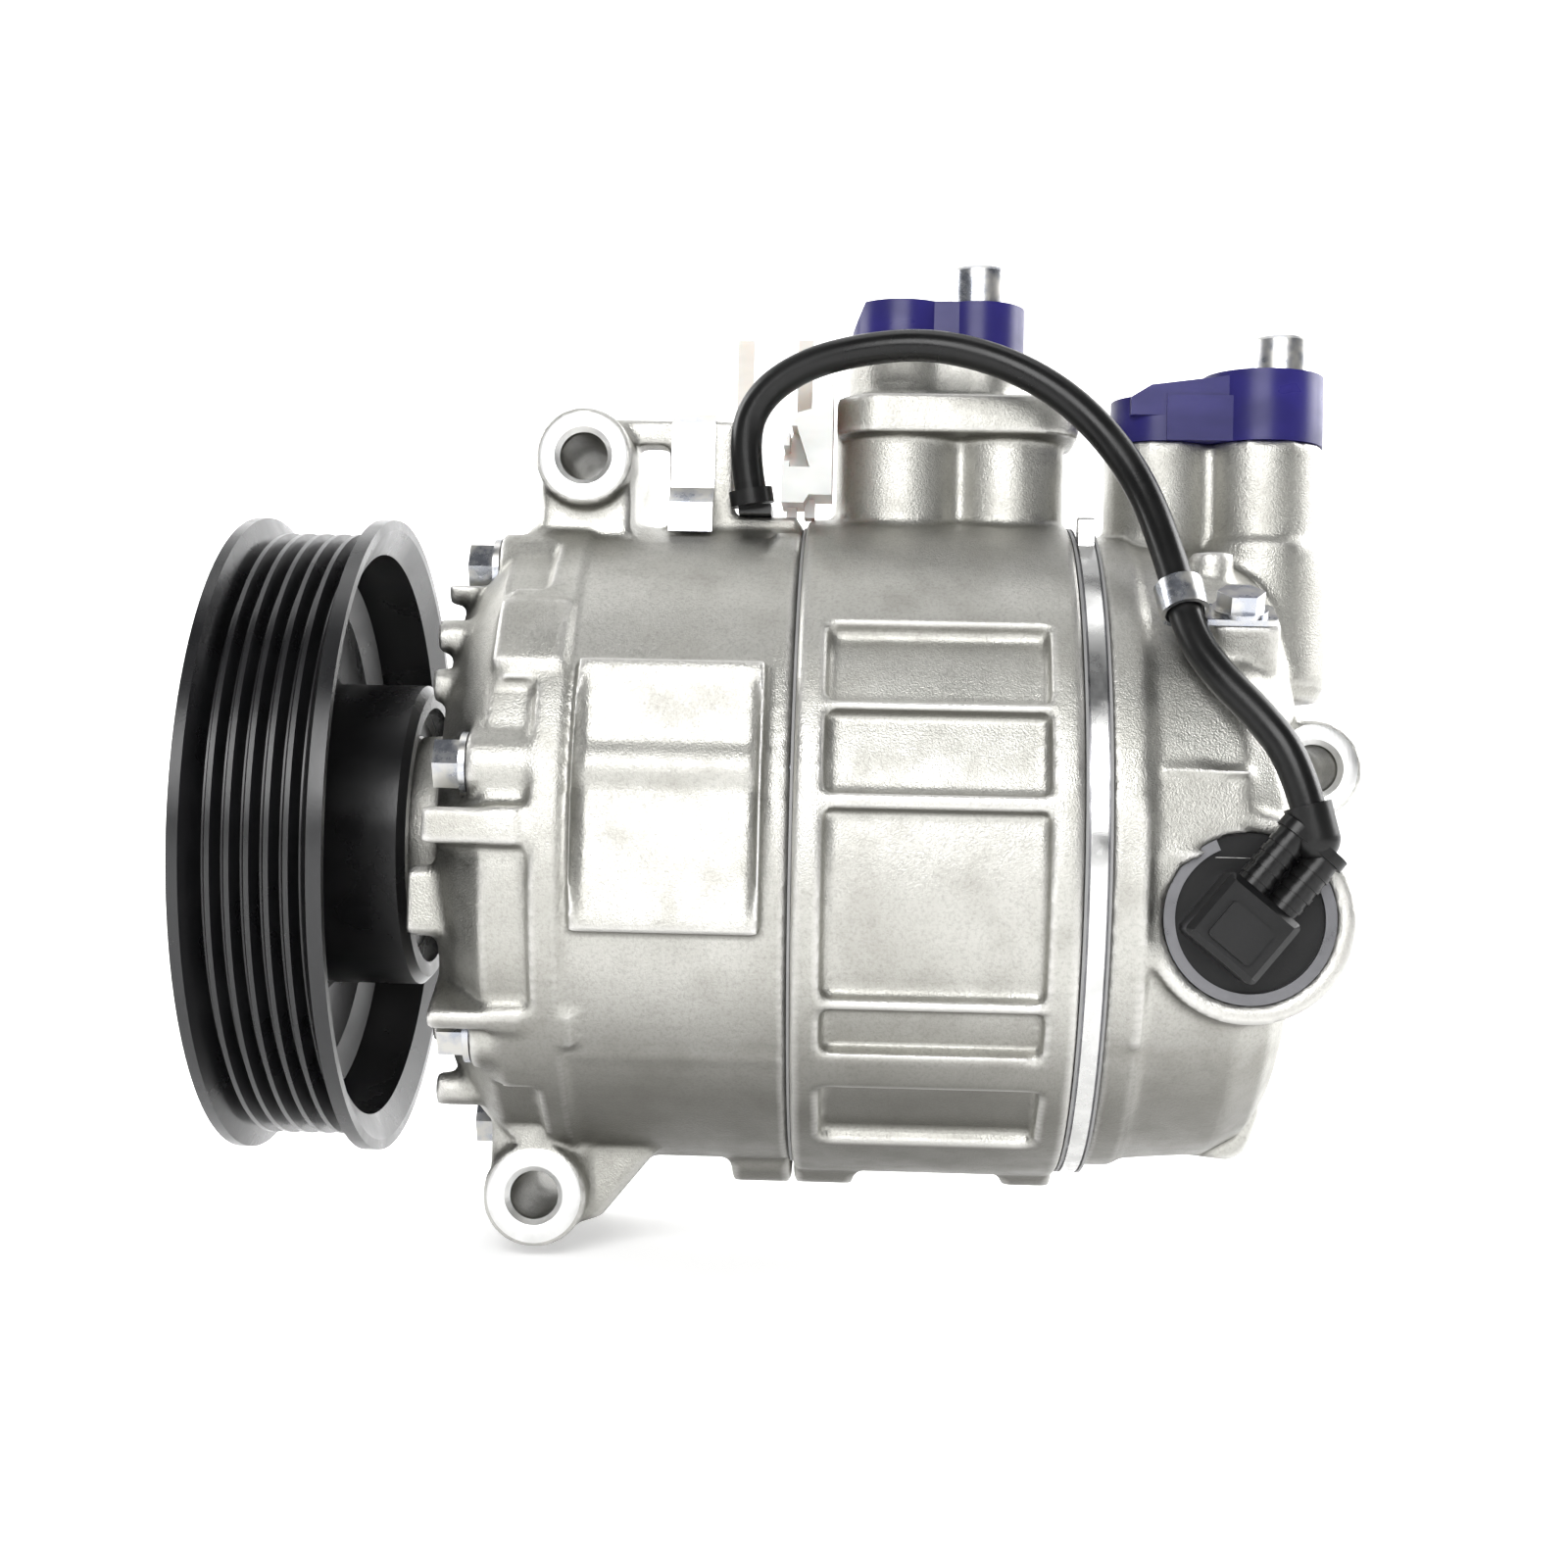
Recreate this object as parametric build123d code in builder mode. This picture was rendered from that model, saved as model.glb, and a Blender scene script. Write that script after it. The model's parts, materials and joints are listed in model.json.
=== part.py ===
from build123d import *
import os
from math import cos, radians, sin, tan

os.makedirs("parts", exist_ok=True)

# Clutchless swash-plate compressor for a car's air conditioning, in millimetres.
# +X runs along the shaft from the pulley to the rear head, +Z is up, and the near
# side, with the control valve, faces -Y.  The origin is on the shaft axis, in the
# middle plane of the belt.  Angles about the shaft start at the near side (-Y) and
# rise towards +Z.

# ------------------------------------------------------------------ driving sizes
running_gap = 0.05          # radial clearance of a running fit
free_gap = 0.3              # clearance between pieces that never touch
seat_gap = 0.02             # clearance of a piece that is only laid in its seat

# belt drive
groove_pitch = 3.56
groove_count = 6
groove_depth = 3.2
groove_tip = 0.9            # flat land on each rib and in each groove
crest_r = 61.0
flange_r = 64.0
front_flange = 2.9
rear_flange = 3.6
rim_inner_r = 57.0
web_front = -6.0
web_back = -1.0
hub_outer_r = 30.5
hub_back = 22.0
damper_count = 6
damper_pitch_r = 39.5
damper_r = 7.0

# pulley bearing, 35 x 52 x 20 double row
bearing_bore_r = 17.5
bearing_outer_r = 26.0
bearing_width = 20.0
bearing_front = -1.0
bearing_ball_r = 2.4
bearing_pitch_r = 21.75
balls_per_row = 16

# shaft and its fittings
shaft_r = 8.0
shaft_front_r = 6.0
shaft_front = -24.0
shaft_step = -12.0
shaft_back = 124.0

# front housing
front_face = 29.0           # machined face behind the pulley
shell_r = 63.5              # long rear section of the shell
collar_r = 64.6             # thicker section at the front
collar_front = 41.0
collar_back = 57.0
shell_wall = 6.0
joint_x = 97.0              # front housing meets the cylinder block
crankcase_front = 40.0
nose_front = -4.0

# cylinder block
block_r = 65.5
block_back = 149.0
cylinder_count = 7
cylinder_r = 16.0
cylinder_pitch_r = 40.5
first_cylinder = -64.3
pocket_front = 103.0
pocket_back = 143.0
pocket_depth = 3.0

# valve plate stack, from the block to the rear housing
gasket_thick = 0.5
reed_thick = 0.4
valve_plate_thick = 3.0
stack_r = 64.6

# rear housing
rear_r = 63.0
rear_end = 193.0

# through bolts, M6
bolt_r = 3.0
bolt_hole_r = 3.25
bolt_pitch_r = 57.6
bolt_head_r = 5.0
bolt_head = 6.0
bolt_reach = 9.0            # thread in the rear housing
first_bolt = -90.0

# transverse mounting lugs, for 8 mm screws
lug_bore_r = 4.5
lug_chamfer = 1.0
lug_near = -30.0
lug_far = 30.0
top_lug = (54.7, 73.6, 9.4)          # x, z and outer radius
bottom_lug = (48.7, -68.3, 9.9)
rear_lug = (193.7, 16.0, 9.2)
rear_lug_near = -36.0
rear_lug_length = 34.0

# port towers
tower_y = -6.0
discharge_port_x = 115.8
discharge_screw_x = 131.0
discharge_port_r = 6.5
discharge_top = 98.6
suction_port_x = 168.0
suction_screw_x = 191.6
suction_port_r = 8.0
suction_top = 81.0
port_screw_r = 4.0                    # M8
port_screw_head_r = 6.3
port_screw_head = 8.0
port_screw_reach = 14.0
thread_depth = 26.0
cap_thick = 9.5

# control valve, axis along Y
valve_x = 178.5
valve_z = -11.6
valve_face = -60.0
valve_boss_r = 18.5
valve_bore_r = 15.2
valve_body_r = 9.0

# inner mechanism, at rest with the swash plate square to the shaft
lug_plate_front = 45.0
lug_plate_thick = 9.0
lug_plate_r = 44.0
swash_x = 82.0
swash_thick = 9.0
swash_r = 47.0
swash_hub_r = 18.0
hinge_z = 24.0
hinge_x = 66.0
hinge_pin_r = 3.0
shoe_height = 4.8

# control lead
lead_r = 3.1

# ------------------------------------------------------------- worked-out places
belt_half = groove_count * groove_pitch / 2
rim_front = -belt_half - front_flange
rim_back = belt_half + rear_flange
bearing_back = bearing_front + bearing_width
block_front = joint_x + gasket_thick
rear_front = block_back + 2 * gasket_thick + 2 * reed_thick + valve_plate_thick
cylinder_angles = [first_cylinder + i * 360 / cylinder_count for i in range(cylinder_count)]
bolt_angles = [first_bolt + i * 360 / cylinder_count for i in range(cylinder_count)]
shoe_ball_r = swash_thick / 2 + shoe_height


def around(radius, angle):
    """Local (Y, Z) point at a radius and an angle counted from the near side upwards."""
    return (-radius * cos(radians(angle)), radius * sin(radians(angle)))


def on_axis(x):
    """Plane square to the shaft at station x."""
    return Plane.YZ.offset(x)


def radial_plane(angle):
    """Plane through the shaft: local x runs along the shaft, local y runs outwards."""
    out_y, out_z = around(1, angle)
    return Plane(origin=(0, 0, 0), x_dir=(1, 0, 0), z_dir=(0, -out_z, out_y))


def draw_sector(inner, outer, low, high):
    """Draws an annular sector between two angles in the active line context."""
    inner_arc = CenterArc((0, 0), inner, 180 - low, low - high)
    outer_arc = CenterArc((0, 0), outer, 180 - low, low - high)
    Line(inner_arc @ 0, outer_arc @ 0)
    Line(inner_arc @ 1, outer_arc @ 1)


def sector(x, length, inner, outer, low, high, mode=Mode.ADD):
    """Adds or cuts an annular sector from station x in the active part."""
    with BuildSketch(on_axis(x)) as profile:
        with BuildLine():
            draw_sector(inner, outer, low, high)
        make_face()
    extrude(profile.sketch, amount=length, mode=mode)


def ring(x, length, inner, outer, mode=Mode.ADD):
    """Adds or cuts a plain ring or disc about the shaft in the active part."""
    with BuildSketch(on_axis(x)) as profile:
        Circle(outer)
        if inner:
            Circle(inner, mode=Mode.SUBTRACT)
    extrude(profile.sketch, amount=length, mode=mode)


def rods(x, length, radius, places, mode=Mode.ADD):
    """Adds or cuts round rods parallel to the shaft at (Y, Z) places."""
    with BuildSketch(on_axis(x)) as profile:
        with Locations(*places):
            Circle(radius)
    extrude(profile.sketch, amount=length, mode=mode)


def cross_rod(y, length, radius, x, z, mode=Mode.ADD):
    """Adds or cuts a round rod along Y, from y onwards, centred on (x, z)."""
    with BuildSketch(Plane(origin=(x, y, z), x_dir=(1, 0, 0), z_dir=(0, 1, 0))) as profile:
        Circle(radius)
    extrude(profile.sketch, amount=length, mode=mode)


def post(z, height, radius, x, y, mode=Mode.ADD):
    """Adds or cuts an upright round post from z upwards, centred on (x, y)."""
    with BuildSketch(Plane.XY.offset(z)) as profile:
        with Locations((x, y)):
            Circle(radius)
    extrude(profile.sketch, amount=height, mode=mode)


# ------------------------------------------------------------------- belt pulley
groove_top_half = (groove_pitch - groove_tip) / 2
groove_floor_half = groove_top_half - groove_depth * tan(radians(20))
belt_outline = [(rim_front, rim_inner_r), (rim_front, flange_r), (-belt_half - 0.8, flange_r)]
for i in range(groove_count):
    middle = -belt_half + (i + 0.5) * groove_pitch
    belt_outline += [
        (middle - groove_top_half, crest_r),
        (middle - groove_floor_half, crest_r - groove_depth),
        (middle + groove_floor_half, crest_r - groove_depth),
        (middle + groove_top_half, crest_r),
    ]
belt_outline += [
    (belt_half + 0.8, flange_r),
    (rim_back, flange_r),
    (rim_back, flange_r - 2.0),
    (rim_back - 2.5, rim_inner_r),
]
hub_wall_r = bearing_outer_r - 2.4
damper_places = [around(damper_pitch_r, 30 + i * 360 / damper_count) for i in range(damper_count)]

with BuildPart() as pulley:
    with BuildSketch(Plane.XZ):
        with BuildLine():
            Polyline(*belt_outline, close=True)
        make_face()
    revolve(axis=Axis.X)
pulley.part.label = "pulley"
export_step(pulley.part, "parts/pulley.step")

# pressed web and bearing hub, welded into the rolled rim
with BuildPart() as pulley_hub:
    with BuildSketch(Plane.XZ):
        with BuildLine():
            Polyline(
                (web_front, hub_wall_r),
                (web_front, rim_inner_r),
                (web_back, rim_inner_r),
                (web_back + 2.5, rim_inner_r - 3),
                (web_back, rim_inner_r - 8),
                (web_back, hub_outer_r + 3),
                (web_back + 3, hub_outer_r),
                (hub_back - 1.5, hub_outer_r),
                (hub_back, hub_outer_r - 1.5),
                (hub_back, bearing_outer_r),
                (bearing_front, bearing_outer_r),
                (bearing_front, hub_wall_r),
                close=True,
            )
        make_face()
    revolve(axis=Axis.X)
    rods(web_front, web_back - web_front + 3, damper_r, damper_places, mode=Mode.SUBTRACT)
pulley_hub.part.label = "pulley_hub"
export_step(pulley_hub.part, "parts/pulley_hub.step")

hub_pin_r = 3.4
with BuildPart() as rubber_dampers:
    with BuildSketch(on_axis(web_front - 0.5)):
        with Locations(*damper_places):
            Circle(damper_r)
            Circle(hub_pin_r, mode=Mode.SUBTRACT)
    extrude(amount=web_back - web_front + 1)
rubber_dampers.part.label = "rubber_dampers"
export_step(rubber_dampers.part, "parts/rubber_dampers.step")

hub_disc_front = rim_front + 1
hub_disc_back = web_front - 1
hub_nose_back = shaft_step + 7
with BuildPart() as limiter_hub:
    with BuildSketch(Plane.XZ):
        with BuildLine():
            Polyline(
                (shaft_step - 2, shaft_front_r),
                (shaft_step - 2, 13),
                (hub_disc_front, 15),
                (hub_disc_front, 45),
                (hub_disc_front + 1.5, 46.5),
                (hub_disc_back, 46.5),
                (hub_disc_back, 20),
                (hub_nose_back - 1, 12),
                (hub_nose_back - 1, shaft_r + 1),
                (shaft_step + 5, shaft_r + 1),
                (shaft_step + 5, shaft_front_r),
                close=True,
            )
        make_face()
    revolve(axis=Axis.X)
    rods(hub_disc_back, web_back - hub_disc_back, hub_pin_r, damper_places)
limiter_hub.part.label = "limiter_hub"
export_step(limiter_hub.part, "parts/limiter_hub.step")

nut_length = 6.0
with BuildPart() as hub_nut:
    with BuildSketch(on_axis(shaft_step - 2 - nut_length)):
        RegularPolygon(9.2, 6)
        Circle(shaft_front_r, mode=Mode.SUBTRACT)
    extrude(amount=nut_length)
hub_nut.part.label = "hub_nut"
export_step(hub_nut.part, "parts/hub_nut.step")

# ----------------------------------------------------------------- pulley bearing
bearing_rows = (bearing_front + bearing_width * 0.27, bearing_front + bearing_width * 0.73)
race_gap = bearing_ball_r + running_gap


def race_ring(inner, outer):
    """Adds a bearing ring with a round ball track in each row."""
    ring(bearing_front, bearing_width, inner, outer)
    for row in bearing_rows:
        with BuildSketch(Plane.XZ) as track:
            with Locations((row, bearing_pitch_r)):
                Circle(race_gap)
        revolve(track.sketch, axis=Axis.X, mode=Mode.SUBTRACT)


with BuildPart() as bearing_outer_ring:
    race_ring(bearing_pitch_r + 1.5, bearing_outer_r)
bearing_outer_ring.part.label = "bearing_outer_ring"
export_step(bearing_outer_ring.part, "parts/bearing_outer_ring.step")

with BuildPart() as bearing_inner_ring:
    race_ring(bearing_bore_r, bearing_pitch_r - 1.5)
bearing_inner_ring.part.label = "bearing_inner_ring"
export_step(bearing_inner_ring.part, "parts/bearing_inner_ring.step")

ball_places = [around(bearing_pitch_r, i * 360 / balls_per_row) for i in range(balls_per_row)]
with BuildPart() as bearing_balls:
    for row in bearing_rows:
        with Locations(*[(row, y, z) for y, z in ball_places]):
            Sphere(bearing_ball_r)
bearing_balls.part.label = "bearing_balls"
export_step(bearing_balls.part, "parts/bearing_balls.step")

cage_half = 0.7
with BuildPart() as bearing_cage:
    ring(bearing_rows[0] - 3, bearing_rows[1] - bearing_rows[0] + 6,
         bearing_pitch_r - cage_half, bearing_pitch_r + cage_half)
    for row in bearing_rows:
        with Locations(*[(row, y, z) for y, z in ball_places]):
            Sphere(bearing_ball_r, mode=Mode.SUBTRACT)
bearing_cage.part.label = "bearing_cage"
export_step(bearing_cage.part, "parts/bearing_cage.step")

seal_lip_r = bearing_pitch_r - 1.5 + 0.1
with BuildPart() as bearing_seals:
    for start in (bearing_front, bearing_back - 1.0):
        ring(start, 1.0, seal_lip_r, bearing_pitch_r + 1.5)
bearing_seals.part.label = "bearing_seals"
export_step(bearing_seals.part, "parts/bearing_seals.step")

# snap ring that keeps the bearing on the nose, open over one gap
snap_gap = 24
with BuildPart() as bearing_snap_ring:
    sector(bearing_front - 1.5, 1.5, bearing_bore_r - 0.8, bearing_bore_r + 2.2, -90 + snap_gap, 270 - snap_gap)
bearing_snap_ring.part.label = "bearing_snap_ring"
export_step(bearing_snap_ring.part, "parts/bearing_snap_ring.step")

# --------------------------------------------------------------- shaft and bearings
needle_r = 1.4
needle_pitch_r = shaft_r + running_gap + needle_r
needle_cup_inner = needle_pitch_r + needle_r + running_gap
needle_cup_r = needle_cup_inner + 1.2
needle_count = 16
front_needle_x = 24.0
rear_needle_x = 106.0
needle_length = 14.0

with BuildPart() as shaft:
    ring(shaft_front, shaft_step - shaft_front + 5, 0, shaft_front_r)
    ring(shaft_step + 5, shaft_back - shaft_step - 5, 0, shaft_r)
    chamfer(shaft.edges().filter_by(GeomType.CIRCLE).group_by(Axis.X)[0], 1)
    chamfer(shaft.edges().filter_by(GeomType.CIRCLE).group_by(Axis.X)[-1], 1)
shaft.part.label = "shaft"
export_step(shaft.part, "parts/shaft.step")

with BuildPart() as shaft_seal:
    ring(9, 7, 9.5, needle_cup_r)
    ring(13, 3, shaft_r + running_gap, 9.5)
shaft_seal.part.label = "shaft_seal"
export_step(shaft_seal.part, "parts/shaft_seal.step")

with BuildPart() as seal_snap_ring:
    sector(7.8, 1.2, needle_cup_r - 2.4, needle_cup_r + 0.8, -90 + snap_gap, 270 - snap_gap)
seal_snap_ring.part.label = "seal_snap_ring"
export_step(seal_snap_ring.part, "parts/seal_snap_ring.step")

needle_places = [around(needle_pitch_r, i * 360 / needle_count) for i in range(needle_count)]
with BuildPart() as needle_cups:
    for start in (front_needle_x, rear_needle_x):
        ring(start, needle_length, needle_cup_inner, needle_cup_r)
needle_cups.part.label = "needle_cups"
export_step(needle_cups.part, "parts/needle_cups.step")

with BuildPart() as needles:
    for start in (front_needle_x, rear_needle_x):
        rods(start + 1, needle_length - 2, needle_r, needle_places)
needles.part.label = "needles"
export_step(needles.part, "parts/needles.step")

# ------------------------------------------------- lug plate, hinge and swash plate
lug_plate_back = lug_plate_front + lug_plate_thick
ear_half = 12.0
tongue_half = 6.5
with BuildPart() as lug_plate:
    ring(lug_plate_front, lug_plate_thick, shaft_r, lug_plate_r)
    chamfer(lug_plate.edges().filter_by(GeomType.CIRCLE).group_by(SortBy.RADIUS)[-1], 1.2)
    with BuildSketch(Plane.XZ.offset(-ear_half)):
        with BuildLine():
            Polyline(
                (lug_plate_back - 1, hinge_z - 8),
                (hinge_x, hinge_z - 6),
                (hinge_x + 5, hinge_z),
                (hinge_x, hinge_z + 6),
                (lug_plate_back - 1, hinge_z + 8),
                close=True,
            )
        make_face()
    extrude(amount=2 * ear_half)
    with BuildSketch(Plane.XZ.offset(-tongue_half - free_gap)):
        with Locations(((lug_plate_back + hinge_x + 8) / 2, hinge_z)):
            Rectangle(hinge_x + 8 - lug_plate_back, 20)
    extrude(amount=2 * (tongue_half + free_gap), mode=Mode.SUBTRACT)
    cross_rod(-ear_half, 2 * ear_half, hinge_pin_r, hinge_x, hinge_z, mode=Mode.SUBTRACT)
    # counterweight opposite the hinge
    sector(lug_plate_back, 6, 22, lug_plate_r - 2, -130, -50)
lug_plate.part.label = "lug_plate"
export_step(lug_plate.part, "parts/lug_plate.step")

with BuildPart() as hinge_pin:
    cross_rod(-ear_half, 2 * ear_half, hinge_pin_r, hinge_x, hinge_z)
hinge_pin.part.label = "hinge_pin"
export_step(hinge_pin.part, "parts/hinge_pin.step")

swash_front = swash_x - swash_thick / 2
swash_back = swash_x + swash_thick / 2
with BuildPart() as swash_plate:
    ring(swash_front, swash_thick, 0, swash_r)
    chamfer(swash_plate.edges().filter_by(GeomType.CIRCLE).group_by(SortBy.RADIUS)[-1], 0.8)
    ring(swash_front - 3, swash_thick + 6, 0, swash_hub_r)
    with BuildSketch(Plane.XZ.offset(-tongue_half)):
        with BuildLine():
            Polyline(
                (swash_front + 1, hinge_z - 5),
                (hinge_x, hinge_z - 5),
                (hinge_x - 4, hinge_z),
                (hinge_x, hinge_z + 5),
                (swash_front + 1, hinge_z + 7),
                close=True,
            )
        make_face()
    extrude(amount=2 * tongue_half)
    cross_rod(-tongue_half, 2 * tongue_half, hinge_pin_r, hinge_x, hinge_z, mode=Mode.SUBTRACT)
    ring(swash_front - 3, swash_thick + 6, 0, shaft_r + running_gap, mode=Mode.SUBTRACT)
swash_plate.part.label = "swash_plate"
export_step(swash_plate.part, "parts/swash_plate.step")


def coil_spring(start, length, coil_r, wire_r, turns):
    """Sweeps a round wire along a helix about the shaft from station start."""
    with BuildLine(Plane.XY) as centre:
        Helix(pitch=length / turns, height=length, radius=coil_r, center=(start, 0, 0), direction=(1, 0, 0))
    coil = centre.edges()[0]
    with BuildSketch(Plane(origin=coil @ 0, z_dir=coil % 0)) as wire:
        Circle(wire_r)
    sweep(wire.sketch, path=coil, is_frenet=True)


spring_wire_r = 0.9
spring_coil_r = 11.0
spring_clear = spring_wire_r + 0.1
with BuildPart() as tilt_spring:
    coil_spring(lug_plate_back + spring_clear, swash_front - 3 - lug_plate_back - 2 * spring_clear,
                spring_coil_r, spring_wire_r, 4)
tilt_spring.part.label = "tilt_spring"
export_step(tilt_spring.part, "parts/tilt_spring.step")

return_stop_x = 101.0
with BuildPart() as return_spring:
    coil_spring(swash_back + 3 + spring_clear, return_stop_x - swash_back - 3 - 2 * spring_clear,
                spring_coil_r, spring_wire_r, 3)
return_spring.part.label = "return_spring"
export_step(return_spring.part, "parts/return_spring.step")

with BuildPart() as spring_stop_ring:
    sector(return_stop_x, 1.4, shaft_r, spring_coil_r + 1.2, -90 + snap_gap, 270 - snap_gap)
spring_stop_ring.part.label = "spring_stop_ring"
export_step(spring_stop_ring.part, "parts/spring_stop_ring.step")

# --------------------------------------------------------------- pistons and shoes
piston_front = 109.0
piston_back = block_back - 1.0
claw_front = swash_x - 16.0
claw_face = 7.0                     # claw faces stand this far from the plate's middle
bridge_inner_r = swash_r + 3.0
claw_inner_r = 34.0
claw_half = 9.0
piston_gap = 0.05
ring_slot = 1.5


def ball_cap(angle, side, ball_r, base, mode=Mode.ADD):
    """Adds or cuts the cap of a ball centred in the swash plate, beyond distance base."""
    centre_y, centre_z = around(cylinder_pitch_r, angle)
    base_r = (ball_r**2 - base**2) ** 0.5
    with BuildSketch(radial_plane(angle)) as profile:
        with BuildLine():
            foot = (swash_x + side * base, cylinder_pitch_r)
            crown = (swash_x + side * ball_r, cylinder_pitch_r)
            rim = (swash_x + side * base, cylinder_pitch_r + base_r)
            RadiusArc(crown, rim, -side * ball_r)
            Polyline(rim, foot, crown)
        make_face()
    revolve(profile.sketch, axis=Axis((0, centre_y, centre_z), (1, 0, 0)), mode=mode)


for number, angle in enumerate(cylinder_angles, start=1):
    centre_y, centre_z = around(cylinder_pitch_r, angle)
    with BuildPart() as piston:
        rods(claw_front, piston_back - claw_front, cylinder_r - piston_gap, [(centre_y, centre_z)])
        with BuildSketch(on_axis(piston_back - 4 - ring_slot)):
            with Locations((centre_y, centre_z)):
                Circle(cylinder_r)
                Circle(cylinder_r - 1.6, mode=Mode.SUBTRACT)
        extrude(amount=ring_slot, mode=Mode.SUBTRACT)
        # slot for the swash plate between the two claws
        with BuildSketch(radial_plane(angle)):
            with BuildLine():
                Polyline(
                    (claw_front - 1, claw_inner_r),
                    (swash_x - claw_face, claw_inner_r),
                    (swash_x - claw_face, bridge_inner_r),
                    (swash_x + claw_face, bridge_inner_r),
                    (swash_x + claw_face, claw_inner_r),
                    (piston_front, claw_inner_r),
                    (piston_front, 0),
                    (claw_front - 1, 0),
                    close=True,
                )
            make_face()
        extrude(amount=2 * cylinder_r, both=True, mode=Mode.SUBTRACT)
        # flat cheeks on both sides of the claws
        for side in (-1, 1):
            cheek = radial_plane(angle).offset(side * claw_half)
            with BuildSketch(cheek):
                with Locations(((claw_front + piston_front) / 2 - 1, cylinder_pitch_r)):
                    Rectangle(piston_front - claw_front + 2, 4 * cylinder_r)
            extrude(amount=side * cylinder_r, mode=Mode.SUBTRACT)
        # ball seats of the two shoes
        for side in (-1, 1):
            ball_cap(angle, side, shoe_ball_r + seat_gap, claw_face - 1, mode=Mode.SUBTRACT)
    piston.part.label = f"piston_{number}"
    export_step(piston.part, f"parts/piston_{number}.step")

with BuildPart() as piston_rings:
    with BuildSketch(on_axis(piston_back - 4 - ring_slot + seat_gap)):
        with Locations(*[around(cylinder_pitch_r, angle) for angle in cylinder_angles]):
            Circle(cylinder_r)
            Circle(cylinder_r - 1.5, mode=Mode.SUBTRACT)
    extrude(amount=ring_slot - 2 * seat_gap)
piston_rings.part.label = "piston_rings"
export_step(piston_rings.part, "parts/piston_rings.step")

# each shoe is the cap that the plate's face cuts from one ball centred in the plate
shoe_base = swash_thick / 2 + 0.03
with BuildPart() as shoes:
    for angle in cylinder_angles:
        for side in (-1, 1):
            ball_cap(angle, side, shoe_ball_r, shoe_base)
shoes.part.label = "shoes"
export_step(shoes.part, "parts/shoes.step")

# ------------------------------------------------------------------ front housing
def place_bolts(radius):
    """(Y, Z) places of the through bolts on a circle of the given radius."""
    return [around(radius, angle) for angle in bolt_angles]


bolt_seat_x = 39.0
bolt_boss_r = 8.0
# outer bosses at the joint: angle, radius, distance outside the bolt circle, length
joint_bosses = ((bolt_angles[0], 10.0, 1.0, 12.0), (bolt_angles[3], 8.0, 0.0, 5.5))
pad_low, pad_high = -14.6, 29.6
pad_front, pad_back = 58.5, 92.0
pad_rim_r = 66.3
pad_flat = 62.0                      # distance of the pad's flat from the shaft
pad_angle = (pad_low + pad_high) / 2
lug_web_y = 25.0
post_front, post_back = 70.2, 83.0
post_near, post_far = -16.5, -8.5
post_top = 83.3
post_foot_top = 64.4                 # ledge beside the post, under the connector's feet

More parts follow.
